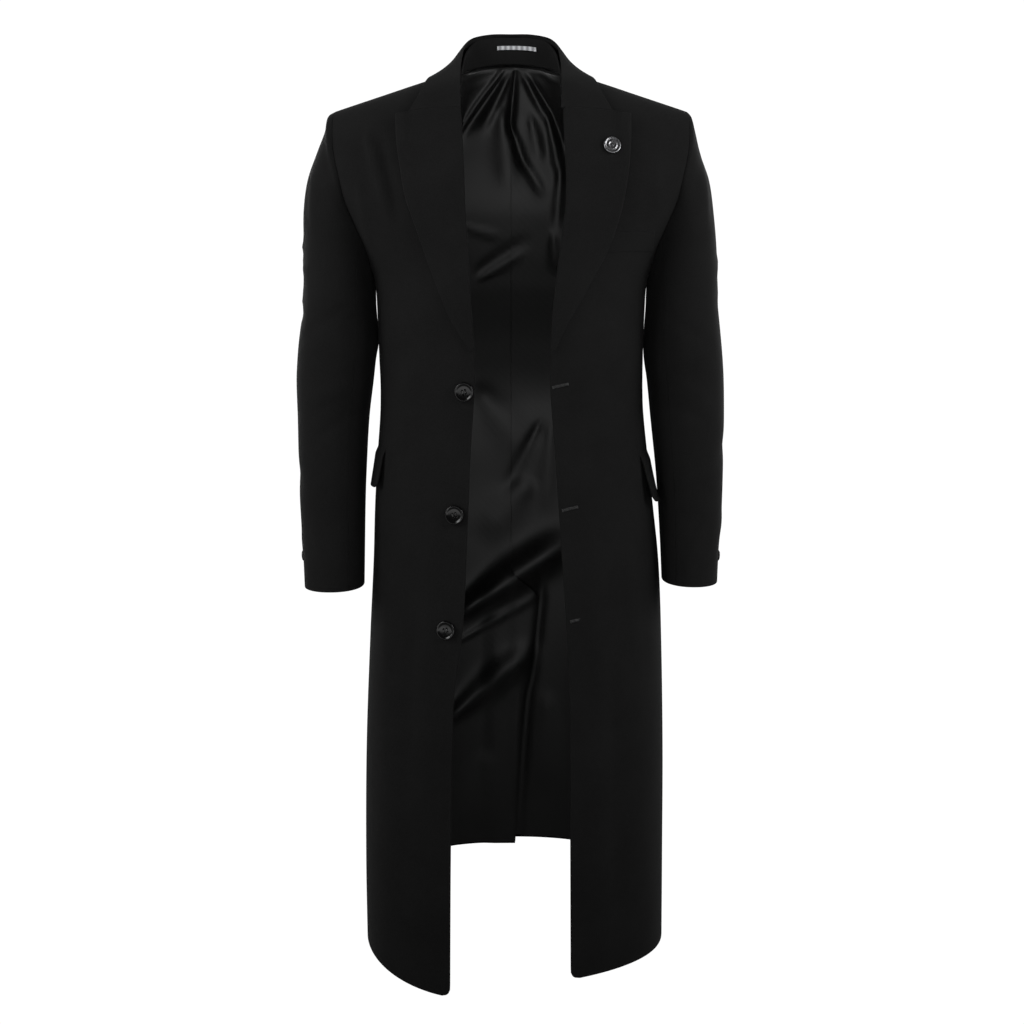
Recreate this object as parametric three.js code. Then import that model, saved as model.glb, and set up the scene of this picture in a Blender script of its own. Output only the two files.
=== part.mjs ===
// A full-length single-breasted overcoat with peak lapels, worn open and filled out with nobody in it.
// Millimetres. Z is up, the front faces -Y and +X is the wearer's left. Z = 0 is the level of the neck seam
// at the shoulders. "right" and "left" are the wearer's sides. The x of a side is measured outward from the
// centre line, so each panel is worked out once and put on its own side at the end.

import * as THREE from "three";

const WOOL_WALL = 2.2;
const LINING_WALL = 1.0;
const SEAM_GAP = 0.3;
const HALF_GAP = SEAM_GAP * 0.6;

const SECTION_POWER = 2.3;
const NECK_HALF = 78;
const SHOULDER_HALF = NECK_HALF * 3;
const NECK_Z = -3;
const SHOULDER_TIP_Z = -49.5;
const ARMPIT_Z = -262;

const NECK_DEPTH = 72;
const NECK_RISE = 30;
const NECK_POWER = 2;

// How far below the shoulder the front and the back reach their full depth, beside the neck and at the tip.
const SLOPE_REACH = { front: { neck: 185, tip: 125 }, back: { neck: 95, tip: 120, middle: 150 } };

const VENT_TOP = -746;
const VENT_STEP = 3.4;
const VENT_RAMP = { full: 20, none: 52 };

// Half-widths to the side seams and depths from the side seams to the front and to the back. Above the
// armpit the half-width is where the chest would close if no sleeve were set in.
const BODY = [
  { z: -40, right: 270, left: 270, front: 120, back: 104 },
  { z: -128, right: 262, left: 262, front: 122, back: 112 },
  { z: -170, right: 245, left: 245, front: 123, back: 116 },
  { z: -205, right: 221, left: 221, front: 124, back: 117 },
  { z: -235, right: 200, left: 200, front: 124, back: 117 },
  { z: -262, right: 187, left: 187, front: 124, back: 116 },
  { z: -280, right: 183.4, left: 183.4, front: 124, back: 115 },
  { z: -300, right: 182.2, left: 182.2, front: 123, back: 113 },
  { z: -364, right: 180.5, left: 180.5, front: 120, back: 106 },
  { z: -437, right: 179.5, left: 181.5, front: 118, back: 101 },
  { z: -500, right: 184, left: 188, front: 124, back: 108 },
  { z: -573, right: 189, left: 197, front: 132, back: 120 },
  { z: -655, right: 192.5, left: 206.5, front: 138, back: 131 },
  { z: -755, right: 198.5, left: 212, front: 146, back: 143 },
  { z: -918, right: 206.5, left: 217, front: 160, back: 163 },
  { z: -1084, right: 210, left: 219, front: 174, back: 180 },
  { z: -1225, right: 210, left: 220.5, front: 186, back: 192 },
];

// Height of the shoulder seam over the distance from the centre line.
const RIDGE = [
  { x: 55, z: 8 },
  { x: NECK_HALF, z: NECK_Z },
  { x: 104, z: -8.5 },
  { x: 129, z: -16 },
  { x: 160, z: -26 },
  { x: 193, z: -36.5 },
  { x: SHOULDER_HALF, z: SHOULDER_TIP_Z },
  { x: 270, z: -62 },
];

// Distance from the centre line to the seam that the sleeve is set into.
const ARMHOLE = [
  { z: SHOULDER_TIP_Z, x: SHOULDER_HALF },
  { z: -73, x: 231 },
  { z: -100, x: 229 },
  { z: -128, x: 225 },
  { z: -170, x: 216 },
  { z: -205, x: 202 },
  { z: -235, x: 191 },
  { z: ARMPIT_Z, x: 187 },
];

// Distance from the centre line to the neck seam, the roll of the lapel and, below it, the front edge.
const FRONT_EDGE = [
  { z: NECK_Z, right: NECK_HALF, left: NECK_HALF },
  { z: -30, right: 71, left: 73 },
  { z: -62, right: 64, left: 67 },
  { z: -120, right: 60, left: 69 },
  { z: -177, right: 58, left: 70 },
  { z: -216, right: 56, left: 65 },
  { z: -312, right: 51, left: 54 },
  { z: -363, right: 48, left: 52 },
  { z: -411, right: 47, left: 51 },
  { z: -489, right: 52, left: 57 },
  { z: -608, right: 57, left: 65 },
  { z: -722, right: 63, left: 73 },
  { z: -781, right: 71, left: 76 },
  { z: -828, right: 76, left: 78 },
  { z: -1010, right: 80, left: 79 },
  { z: -1225, right: 82, left: 80.5 },
];

// How far the under side of the back vent reaches past the centre line.
const VENT_EDGE = [
  { z: -750, x: 42 },
  { z: -861, x: 31 },
  { z: -915, x: 22 },
  { z: -1023, x: 14 },
  { z: -1165, x: 6 },
];

// The arch is how much higher the front hem's middle lies than a line from the front edge to the side.
const HEM = {
  right: { front: -1222, side: -1206, back: -1159, arch: 2 },
  left: { front: -1197, side: -1207, back: -1149, arch: 5 },
};

// Outer edge of the turned-back lapel, from the peak down to where it breaks open.
const LAPEL_EDGE = [
  { z: -67, right: 146, left: 152 },
  { z: -100, right: 144, left: 151 },
  { z: -133, right: 139, left: 148 },
  { z: -170, right: 132, left: 142 },
  { z: -205, right: 120, left: 133 },
  { z: -238, right: 109, left: 121 },
  { z: -266, right: 99, left: 106 },
  { z: -300, right: 86, left: 88 },
  { z: -324, right: 76, left: 74 },
  { z: -364, right: 52, left: 56 },
];
const LAPEL_TOP_INNER = -60.8;
const LAPEL_TOP_OUTER = -67;
const LAPEL_BREAK_Z = -362;
const LAPEL_CLEARANCE = 3;
const LAPEL_SWELL = 1.6;

// The collar by its half, from centre back to the front end. The fold stands free behind the neck and then
// lies over the front; the outer edge lies on the shoulder. The seam to the neck is placed by its x behind and
// by its z in front.
const COLLAR = [
  { foldX: 0, foldY: 82, foldZ: 66.5, edgeX: 0, edgeZ: 12, face: "back", swell: 7, seamX: 0 },
  { foldX: 30, foldY: 80, foldZ: 66, edgeX: 40, edgeZ: 8, face: "back", swell: 7, seamX: 30 },
  { foldX: 54, foldY: 68, foldZ: 59, edgeX: 72, edgeZ: -2, face: "back", swell: 4, seamX: 54 },
  { foldX: 64.5, foldY: 42, foldZ: 43, edgeX: 93, edgeZ: -11, face: "back", swell: 1, seamX: 70 },
  { foldX: 67, foldY: 10, foldZ: 25, edgeX: 104, face: "ridge", swell: 0, seamX: NECK_HALF },
  { foldX: 68, foldY: -24, foldZ: 5, edgeX: 109, edgeZ: -17, face: "front", swell: 1, seamZ: -20 },
  { foldX: 67.5, foldY: -62, foldZ: -20, edgeX: 117.5, edgeZ: -39, face: "front", swell: 2, seamZ: -40 },
  { foldX: 66, foldY: -96, foldZ: -57, edgeX: 129, edgeZ: -61.5, face: "front", swell: 3, seamZ: -58 },
];
const COLLAR_LIFT = 4.6;
const SEAM_LIFT = 1.2;
const FOLD_INSIDE = 2.5;
const FOLD_OUTSIDE = 5.5;
const STAND_TOP = { inward: 4.2, below: 6.2 };

// The sleeve's outer line over the cap, as far as the first level ring.
const CAP = [
  { right: SHOULDER_HALF, left: SHOULDER_HALF, z: SHOULDER_TIP_Z },
  { right: 243, left: 239.5, z: -56 },
  { right: 247, left: 244.5, z: -74 },
  { right: 258.5, left: 252, z: -102 },
  { right: 272, left: 265, z: -138 },
  { right: 278.5, left: 272, z: -180 },
  { right: 279.5, left: 277.5, z: -232 },
  { right: 282, left: 281, z: -305 },
];
const SLEEVE_POWER = 2.2;

// The sleeve's level rings: how far its outer line and its inner line lie from the coat's centre line.
const SLEEVE = [
  { z: -305, rightOuter: 282, leftOuter: 281, rightInner: 185, leftInner: 185, centreY: 2, halfDepth: 78 },
  { z: -353, rightOuter: 289.5, leftOuter: 287, rightInner: 182.4, leftInner: 182.4, centreY: 2, halfDepth: 78 },
  { z: -377, rightOuter: 292, leftOuter: 289.5, rightInner: 186.5, leftInner: 183.6, centreY: 1.6, halfDepth: 77.6 },
  { z: -405, rightOuter: 293.8, leftOuter: 291.5, rightInner: 190, leftInner: 188, centreY: 1, halfDepth: 77 },
  { z: -457, rightOuter: 293, leftOuter: 292.8, rightInner: 196.6, leftInner: 193.5, centreY: -2, halfDepth: 74 },
  { z: -526, rightOuter: 292.2, leftOuter: 292, rightInner: 200.6, leftInner: 200.8, centreY: -10, halfDepth: 68 },
  { z: -572, rightOuter: 290.5, leftOuter: 290.5, rightInner: 202, leftInner: 204, centreY: -18, halfDepth: 63 },
  { z: -632, rightOuter: 286.5, leftOuter: 286, rightInner: 202.5, leftInner: 207, centreY: -30, halfDepth: 57 },
  { z: -685, rightOuter: 284, leftOuter: 283.5, rightInner: 203, leftInner: 209, centreY: -39, halfDepth: 53 },
];
const CUFF_Z = { right: -685, left: -678 };
const SLEEVE_COLUMNS = 20;
const TOP_SLEEVE_HALF = 7;
const CUFF_BUTTON = { z: -647, angle: -8, radius: 7.5, thickness: 3.6 };

// The flaps run round the side from front to back, in degrees from the side seam. They stand off at their lower
// corners, and least beside the sleeve.
const FLAP = {
  front: 25, back: 40, lift: 0.5, middleFlare: 4, flarePower: 1.1,
  right: { top: -494, bottom: -547, frontFlare: 8, backFlare: 22 },
  left: { top: -500, bottom: -566, frontFlare: 13, backFlare: 22 },
};
const WELT = { from: 116, to: 186, top: -213, height: 25, slant: 4 };
const WELT_WALL = 1.5;

const FRONT_BUTTONS = [
  { name: "front_button_top", x: 60, z: -415 },
  { name: "front_button_middle", x: 73, z: -574 },
  { name: "front_button_bottom", x: 85, z: -726 },
];
const FRONT_BUTTON = { radius: 12.5, thickness: 4.6 };
const PIN = { x: 126, z: -108, radius: 11, thickness: 2.4 };
const LOOP = { from: -0.1, to: 0.19, low: 0.49, high: 0.66, wall: 1.4, stand: 0.7 };

// Folds of the back lining: ridges that stand in from the back, each along a line from one place to another,
// most of them gathered at the nape.
const LINING_FOLDS = [
  { fromX: -8, fromZ: 26, toX: -72, toZ: -56, width: 9, height: 9 },
  { fromX: -2, fromZ: 14, toX: -44, toZ: -170, width: 19, height: 12 },
  { fromX: -2, fromZ: -10, toX: 12, toZ: -150, width: 13, height: 14 },
  { fromX: 16, fromZ: 18, toX: 68, toZ: -190, width: 15, height: 14 },
  { fromX: 34, fromZ: 24, toX: 82, toZ: -10, width: 10, height: 7 },
  { fromX: -62, fromZ: -212, toX: 10, toZ: -238, width: 20, height: 5 },
  { fromX: -70, fromZ: -600, toX: 70, toZ: -500, width: 44, height: 9 },
  { fromX: -96, fromZ: -760, toX: 84, toZ: -668, width: 22, height: 15 },
  { fromX: -98, fromZ: -850, toX: -24, toZ: -770, width: 24, height: 10 },
];
const LINING_CLEARANCE = 3.6;
const LINING_TOP_DROP = 0.02;
const LINING_SIDE_INSET = 0.07;
const LINING_HEM_RISE = 16;
const LINING_VENT_GAP = 5;

const UPPER_ROWS = [0, 0.015, 0.05, 0.11, 0.2, 0.33, 0.5, 0.72, 1];
const LOWER_ROWS = [0.06, 0.12, 0.18, 0.25, 0.32, 0.4, 0.47, 0.533, 0.548, 0.62, 0.7, 0.78, 0.86, 0.93, 1];

const CLOTH = new THREE.Color("#17171a");
const SATIN = new THREE.Color("#2a2a2e");
const BUTTON_BLACK = new THREE.Color("#0d0d0f");
const SILVER = new THREE.Color("#b8b9bd");

const coat = new THREE.Group();

function mix(a, b, share) {
  return a + (b - a) * share;
}

function ease(from, to, value) {
  const share = Math.min(1, Math.max(0, (value - from) / (to - from)));
  return share * share * (3 - 2 * share);
}

// A smooth curve through one column of a table, over the column named key.
function lookUp(table, key, column, at) {
  const rising = table[table.length - 1][key] > table[0][key];
  const rows = rising ? table : [...table].reverse();
  const clamped = Math.min(rows[rows.length - 1][key], Math.max(rows[0][key], at));
  let i = 0;
  while (i < rows.length - 2 && clamped > rows[i + 1][key]) i += 1;
  const slope = (j) => {
    const a = rows[Math.max(0, j - 1)];
    const b = rows[Math.min(rows.length - 1, j + 1)];
    return (b[column] - a[column]) / (b[key] - a[key]);
  };
  const span = rows[i + 1][key] - rows[i][key];
  const u = (clamped - rows[i][key]) / span;
  const start = rows[i][column];
  const end = rows[i + 1][column];
  return start * (1 + 2 * u) * (1 - u) ** 2 + end * (3 - 2 * u) * u ** 2
    + span * (slope(i) * u * (1 - u) ** 2 - slope(i + 1) * (1 - u) * u ** 2);
}

const ridgeZ = (x) => lookUp(RIDGE, "x", "z", Math.abs(x));

// The chest and back fall away from the shoulder seam in a quarter of an ellipse.
function rounding(x, z, face) {
  const { neck, tip } = SLOPE_REACH[face];
  const reach = mix(neck, tip, ease(NECK_HALF, SHOULDER_HALF, Math.abs(x)));
  const drop = Math.max(0, ridgeZ(x) - z);
  const left = 1 - Math.min(1, drop / reach);
  return Math.sqrt(1 - left * left);
}

function neckY(x) {
  const share = Math.min(1, Math.abs(x) / NECK_HALF);
  return NECK_DEPTH * (1 - share ** NECK_POWER) ** (1 / NECK_POWER);
}

function neckZ(x) {
  return NECK_Z + NECK_RISE * (neckY(x) / NECK_DEPTH) ** 1.2;
}

// Depth of the outer face of the front (negative) or of the back (positive) at x and z.
function surfaceY(side, face, x, z) {
  const half = lookUp(BODY, "z", side, z);
  const depth = lookUp(BODY, "z", face, z);
  const share = Math.min(1, Math.abs(x) / half);
  const full = depth * (1 - share ** SECTION_POWER) ** (1 / SECTION_POWER);
  if (face === "front") return -full * rounding(x, z, face);
  if (Math.abs(x) >= NECK_HALF) return full * rounding(x, z, face);
  const drop = Math.max(0, neckZ(x) - z);
  const reach = mix(SLOPE_REACH.back.middle, SLOPE_REACH.back.neck, ease(20, NECK_HALF, Math.abs(x)));
  const left = 1 - Math.min(1, drop / reach);
  return mix(neckY(x), full, Math.sqrt(1 - left * left));
}

function surfaceNormal(side, face, x, z) {
  const step = 2;
  const slopeX = (surfaceY(side, face, x + step, z) - surfaceY(side, face, x - step, z)) / (2 * step);
  const slopeZ = (surfaceY(side, face, x, z + step) - surfaceY(side, face, x, z - step)) / (2 * step);
  const sign = face === "front" ? -1 : 1;
  return new THREE.Vector3(-slopeX, 1, -slopeZ).multiplyScalar(sign).normalize();
}

// A point on the body, lifted off it by so many millimetres.
function lifted(side, face, x, z, lift) {
  const point = new THREE.Vector3(x, surfaceY(side, face, x, z), z);
  return point.addScaledVector(surfaceNormal(side, face, x, z), lift);
}

function sectionAngle(share) {
  return Math.sign(share) * Math.asin(Math.min(1, Math.abs(share)) ** (SECTION_POWER / 2));
}

function sectionShare(angle) {
  return Math.sign(angle) * Math.abs(Math.sin(angle)) ** (2 / SECTION_POWER);
}

function acrossX(side, share, z, inner) {
  const half = lookUp(BODY, "z", side, z);
  const outer = z < ARMPIT_Z ? half : lookUp(ARMHOLE, "z", "x", z);
  const from = sectionAngle(inner / half);
  const to = sectionAngle(outer / half);
  return half * sectionShare(mix(from, to, share));
}

function hemZ(side, face, share) {
  const hem = HEM[side];
  if (face === "back") return mix(hem.back, hem.side, ease(0.25, 1, share));
  return mix(hem.front, hem.side, ease(0, 1, share)) + hem.arch * Math.sin(Math.PI * share);
}

// Rows run from 0 at the shoulder through 1 at the armpit to 2 at the hem.
function frontPoint(side, share, row) {
  const topX = mix(NECK_HALF, SHOULDER_HALF, share);
  const topZ = ridgeZ(topX);
  if (row <= 1) {
    const z = mix(topZ, ARMPIT_Z, row);
    const spreadX = acrossX(side, share, z, lookUp(FRONT_EDGE, "z", side, z));
    const x = mix(topX, spreadX, ease(0, 0.45, row));
    return new THREE.Vector3(x, Math.min(-HALF_GAP, surfaceY(side, "front", x, z)), z);
  }
  const z = mix(ARMPIT_Z, hemZ(side, "front", share), row - 1);
  const x = acrossX(side, share, z, lookUp(FRONT_EDGE, "z", side, z));
  return new THREE.Vector3(x, Math.min(-HALF_GAP, surfaceY(side, "front", x, z)), z);
}

// The right back carries the under side of the vent past the centre line, a step further in.
function ventEdge(side, z) {
  if (side === "left" || z > VENT_TOP) return HALF_GAP;
  return -lookUp(VENT_EDGE, "z", "x", z);
}

function ventStep(side, x, z) {
  if (side === "left") return 0;
  return VENT_STEP * ease(VENT_RAMP.none, VENT_RAMP.full, x) * ease(VENT_TOP + 45, VENT_TOP + 6, z);
}

function backPoint(side, share, row) {
  const topX = Math.max(HALF_GAP, SHOULDER_HALF * share);
  const topZ = topX < NECK_HALF ? neckZ(topX) : ridgeZ(topX);
  const z = row <= 1 ? mix(topZ, ARMPIT_Z, row) : mix(ARMPIT_Z, hemZ(side, "back", share), row - 1);
  const spreadX = acrossX(side, share, z, ventEdge(side, z));
  const x = row <= 1 ? mix(topX, spreadX, ease(0, 0.45, row)) : spreadX;
  const y = surfaceY(side, "back", x, z) - ventStep(side, x, z);
  return new THREE.Vector3(x, Math.max(HALF_GAP, y), z);
}

// The average of the faces round each point of a grid.
function gridNormals(grid, turn) {
  const rows = grid.length;
  const columns = grid[0].length;
  const at = (i, j) => grid[Math.min(rows - 1, Math.max(0, i))][Math.min(columns - 1, Math.max(0, j))];
  return grid.map((line, i) => line.map((_, j) => {
    const down = at(i + 1, j).clone().sub(at(i - 1, j));
    const along = at(i, j + 1).clone().sub(at(i, j - 1));
    return along.cross(down).multiplyScalar(turn).normalize();
  }));
}

// One closed body from an outer grid, its normals and a thickness. The inner face lies under the outer one.
function wallGeometry(grid, normals, thickness) {
  const rows = grid.length;
  const columns = grid[0].length;
  const positions = [];
  grid.forEach((line) => line.forEach((p) => positions.push(p.x, p.y, p.z)));
  grid.forEach((line, i) => line.forEach((p, j) => {
    const n = normals[i][j];
    positions.push(p.x - n.x * thickness, p.y - n.y * thickness, p.z - n.z * thickness);
  }));
  const outer = (i, j) => i * columns + j;
  const inner = (i, j) => rows * columns + outer(i, j);
  const index = [];
  const quad = (a, b, c, d) => index.push(a, b, c, a, c, d);
  for (let i = 0; i < rows - 1; i += 1) {
    for (let j = 0; j < columns - 1; j += 1) {
      quad(outer(i, j), outer(i + 1, j), outer(i + 1, j + 1), outer(i, j + 1));
      quad(inner(i, j), inner(i, j + 1), inner(i + 1, j + 1), inner(i + 1, j));
    }
  }
  for (let i = 0; i < rows - 1; i += 1) {
    quad(outer(i, 0), inner(i, 0), inner(i + 1, 0), outer(i + 1, 0));
    quad(outer(i, columns - 1), outer(i + 1, columns - 1), inner(i + 1, columns - 1), inner(i, columns - 1));
  }
  for (let j = 0; j < columns - 1; j += 1) {
    quad(outer(0, j), outer(0, j + 1), inner(0, j + 1), inner(0, j));
    quad(outer(rows - 1, j), inner(rows - 1, j), inner(rows - 1, j + 1), outer(rows - 1, j + 1));
  }
  return closedGeometry(positions, index);
}

// Turns the faces round where the body would otherwise be inside out.
function closedGeometry(positions, index) {
  const point = (k) => new THREE.Vector3().fromArray(positions, k * 3);
  let volume = 0;
  for (let k = 0; k < index.length; k += 3) {
    volume += point(index[k]).dot(point(index[k + 1]).cross(point(index[k + 2])));
  }
  const faces = volume > 0 ? index : index.map((_, k) => index[k - (k % 3) + [0, 2, 1][k % 3]]);
  const geometry = new THREE.BufferGeometry();
  geometry.setAttribute("position", new THREE.Float32BufferAttribute(positions, 3));
  geometry.setIndex(faces);
  geometry.computeVertexNormals();
  return geometry;
}

function addMesh(name, geometry, color, roughness, metalness) {
  const mesh = new THREE.Mesh(geometry, new THREE.MeshStandardMaterial({ color, roughness, metalness }));
  mesh.name = name;
  coat.add(mesh);
  return mesh;
}

// Puts a grid that was worked out outward from the centre line on its own side.
function ontoSide(side, grid) {
  const sign = side === "right" ? -1 : 1;
  return grid.map((line) => line.map((p) => new THREE.Vector3(p.x * sign, p.y, p.z)));
}

function makeGrid(rows, columns, place) {
  return rows.map((row) => columns.map((column) => place(column, row)));
}

function steps(count, from = 0, to = 1) {
  return Array.from({ length: count + 1 }, (_, k) => mix(from, to, k / count));
}

const BODY_ROWS = [...UPPER_ROWS, ...LOWER_ROWS.map((row) => row + 1)];
const NECK_SHARE = NECK_HALF / SHOULDER_HALF;
const BACK_COLUMNS = [0, 0.08, 0.16, 0.24, 0.29, NECK_SHARE, 0.42, 0.55, 0.7, 0.82, 0.92, 1];
const LINING_COLUMNS = [0, 0.04, 0.08, 0.12, 0.16, 0.2, 0.24, 0.29, NECK_SHARE, 0.42, 0.55, 0.7, 0.82, 0.92, 1];

// A seam's normals lie in the plane of the seam, so the two walls that meet there end face to face.
function squareSeam(normals, side, isBack) {
  normals[0].forEach((n, j) => {
    if (!isBack || BACK_COLUMNS[j] >= NECK_SHARE) n.setY(0).normalize();
  });
  normals.forEach((line, i) => {
    if (BODY_ROWS[i] >= 1) line[line.length - 1].setY(0).normalize();
    if (isBack && !(side === "right" && BODY_ROWS[i] > 1.5)) line[0].setX(0).normalize();
  });
}

function addPanel(side, face) {
  const isBack = face === "back";
  const columns = isBack ? BACK_COLUMNS : steps(10);
  const place = isBack ? backPoint : frontPoint;
  const grid = ontoSide(side, makeGrid(BODY_ROWS, columns, (share, row) => place(side, share, row)));
  const normals = gridNormals(grid, (side === "right") === isBack ? -1 : 1);
  squareSeam(normals, side, isBack);
  addMesh(`${side}_${face}`, wallGeometry(grid, normals, WOOL_WALL), CLOTH, 0.95, 0);
}

function lapelPlace(side, u, v) {
  const innerZ = mix(LAPEL_BREAK_Z, LAPEL_TOP_INNER, v);
  const outerZ = mix(LAPEL_BREAK_Z, LAPEL_TOP_OUTER, v);
  const innerX = lookUp(FRONT_EDGE, "z", side, innerZ) - 1.2;
  const outerX = lookUp(LAPEL_EDGE, "z", side, outerZ);
  return { x: mix(innerX, outerX, u), z: mix(innerZ, outerZ, u) };
}

// Height of the lapel's outer face over the front: it lies close at the break and swells along its roll.
function lapelLift(u, v) {
  const clearance = mix(0.5, LAPEL_CLEARANCE, ease(0, 0.25, v));
  return WOOL_WALL + clearance + LAPEL_SWELL * Math.sin(Math.PI * (1 - u) ** 0.7) * ease(0, 0.3, v);
}

function addLapel(side) {
  const grid = makeGrid(steps(13), steps(6), (u, v) => {
    const { x, z } = lapelPlace(side, u, v);
    return lifted(side, "front", x, z, lapelLift(u, v));
  });
  const placed = ontoSide(side, grid);
  const normals = gridNormals(placed, side === "right" ? -1 : 1);
  addMesh(`${side}_lapel`, wallGeometry(placed, normals, WOOL_WALL), CLOTH, 0.95, 0);
}

// The collar's lines go round from the wearer's right front end to the left one.
function collarCurve(pointOfRow) {
  const half = COLLAR.map(pointOfRow);
  const mirrored = half.slice(1).reverse().map((p) => new THREE.Vector3(-p.x, p.y, p.z));
  return new THREE.CatmullRomCurve3([...mirrored, ...half], false, "catmullrom", 0.5);
}

const foldCurve = collarCurve((row) => new THREE.Vector3(row.foldX, row.foldY, row.foldZ));
const edgeCurve = collarCurve((row) => {
  if (row.face === "ridge") return new THREE.Vector3(row.edgeX, 0, ridgeZ(row.edgeX) + COLLAR_LIFT);
  return lifted("right", row.face, row.edgeX, row.edgeZ, COLLAR_LIFT);
});
const seamCurve = collarCurve(({ seamX, seamZ }) => {
  if (seamZ === undefined) return new THREE.Vector3(seamX * 0.99, neckY(seamX) - 0.4, neckZ(seamX) + SEAM_LIFT);
  return lifted("right", "front", lookUp(FRONT_EDGE, "z", "right", seamZ) - 0.8, seamZ, SEAM_LIFT);
});

const COLLAR_ROWS = COLLAR.map((row, k) => ({ row: k, swell: row.swell }));

function collarPoint(curve, w) {
  return curve.getPoint((w + 1) / 2);
}

function foldOutward(w) {
  const fold = collarPoint(foldCurve, w);
  const edge = collarPoint(edgeCurve, w);
  return new THREE.Vector3(edge.x - fold.x, edge.y - fold.y, 0).normalize();
}

// The fall's outer face, from inside the fold at 0 over its top and down to the outer edge at 1.
function fallPoint(v, w) {
  const fold = collarPoint(foldCurve, w);
  const edge = collarPoint(edgeCurve, w);
  const outward = foldOutward(w);
  const start = fold.clone().addScaledVector(outward, -FOLD_INSIDE);
  const top = fold.clone().addScaledVector(outward, FOLD_OUTSIDE);
  const away = new THREE.Vector3(-outward.y, outward.x, 0).cross(edge.clone().sub(start)).normalize();
  if (away.z < 0) away.negate();
  const swell = lookUp(COLLAR_ROWS, "row", "swell", Math.abs(w) * (COLLAR.length - 1));
  const middle = start.clone().lerp(edge, 0.5).addScaledVector(away, swell);
  return new THREE.CubicBezierCurve3(start, top, middle, edge).getPoint(v);
}

function addCollar() {
  const fall = makeGrid(steps(32, -1, 1), steps(5), (v, w) => fallPoint(v, w));
  addMesh("collar_fall", wallGeometry(fall, gridNormals(fall, -1), WOOL_WALL), CLOTH, 0.95, 0);
  const stand = makeGrid(steps(26, -0.84, 0.84), steps(3), (v, w) => standPoint(v, w));
  addMesh("collar_stand", wallGeometry(stand, gridNormals(stand, 1), WOOL_WALL), CLOTH, 0.9, 0);
}

// The stand's outer face, from the neck seam at 0 to just under the fold at 1.
function standPoint(v, w) {
  const seam = collarPoint(seamCurve, w);
  const fold = collarPoint(foldCurve, w);
  fold.addScaledVector(foldOutward(w), -STAND_TOP.inward);
  fold.z -= STAND_TOP.below;
  return seam.lerp(fold, v);
}

function sleeveRing(side, angle, z) {
  const inner = lookUp(SLEEVE, "z", `${side}Inner`, z);
  const outer = lookUp(SLEEVE, "z", `${side}Outer`, z);
  const sweep = (value) => Math.sign(value) * Math.abs(value) ** (2 / SLEEVE_POWER);
  const x = (inner + outer) / 2 + sweep(Math.cos(angle)) * (outer - inner) / 2;
  const y = lookUp(SLEEVE, "z", "centreY", z) - sweep(Math.sin(angle)) * lookUp(SLEEVE, "z", "halfDepth", z);
  return new THREE.Vector3(x, y, z);
}

function armholePoint(side, angle) {
  const row = (1 - Math.cos(angle)) / 2;
  const point = Math.sin(angle) >= 0 ? frontPoint(side, 1, row) : backPoint(side, 1, row);
  if (Math.abs(Math.sin(angle)) < 1e-6) point.y = 0;
  point.x += SEAM_GAP + 0.15;
  return point;
}

// Angle 0 is the outer line of the sleeve, a quarter turn its front. Rows from 0 to 1 are the cap.
function sleevePoint(side, angle, row) {
  if (row > 1) return sleeveRing(side, angle, mix(SLEEVE[0].z, CUFF_Z[side], row - 1));
  const first = CAP[0];
  const last = CAP[CAP.length - 1];
  const line = CAP[Math.round(row * (CAP.length - 1))];
  const shareX = (line[side] - first[side]) / (last[side] - first[side]);
  const shareZ = (line.z - first.z) / (last.z - first.z);
  const from = armholePoint(side, angle);
  const to = sleeveRing(side, angle, SLEEVE[0].z);
  return new THREE.Vector3(mix(from.x, to.x, shareX), mix(from.y, to.y, shareX), mix(from.z, to.z, shareZ));
}

function sleeveAngle(column) {
  return (column * 2 * Math.PI) / SLEEVE_COLUMNS;
}

// Moves the first and last column of a piece apart from its neighbour's.
function partSeams(grid) {
  return grid.map((line) => line.map((p, j) => {
    if (j > 0 && j < line.length - 1) return p;
    const next = line[j === 0 ? 1 : j - 1];
    return p.clone().addScaledVector(next.clone().sub(p).normalize(), HALF_GAP);
  }));
}

function addSleeve(side) {
  const capRows = CAP.map((_, k) => k / (CAP.length - 1));
  const rows = [...capRows, ...steps(10).slice(1).map((share) => share + 1)];
  const columns = Array.from({ length: SLEEVE_COLUMNS + 3 }, (_, k) => k - 1 - TOP_SLEEVE_HALF);
  const whole = ontoSide(side, makeGrid(rows, columns, (column, row) => sleevePoint(side, sleeveAngle(column), row)));
  const normals = gridNormals(whole, side === "right" ? -1 : 1);
  normals[0].forEach((n) => n.setX(0).normalize());
  const cut = (from, to) => ({
    grid: partSeams(whole.map((line) => line.slice(from, to + 1))),
    normals: normals.map((line) => line.slice(from, to + 1)),
  });
  const top = cut(1, 1 + TOP_SLEEVE_HALF * 2);
  const under = cut(1 + TOP_SLEEVE_HALF * 2, 1 + SLEEVE_COLUMNS);
  addMesh(`${side}_top_sleeve`, wallGeometry(top.grid, top.normals, WOOL_WALL), CLOTH, 0.95, 0);
  addMesh(`${side}_under_sleeve`, wallGeometry(under.grid, under.normals, WOOL_WALL), CLOTH, 0.95, 0);
}

// A round piece turned about its own axis: a flat back, a rounded edge and a dished face inside a raised rim.
function discGeometry(radius, thickness, sides) {
  const profile = [
    [0, 0],
    [radius * 0.86, 0],
    [radius, thickness * 0.35],
    [radius, thickness * 0.72],
    [radius * 0.93, thickness],
    [radius * 0.8, thickness],
    [radius * 0.7, thickness * 0.74],
    [0, thickness * 0.66],
  ];
  return new THREE.LatheGeometry(profile.map(([r, h]) => new THREE.Vector2(r, h)), sides);
}

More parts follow.
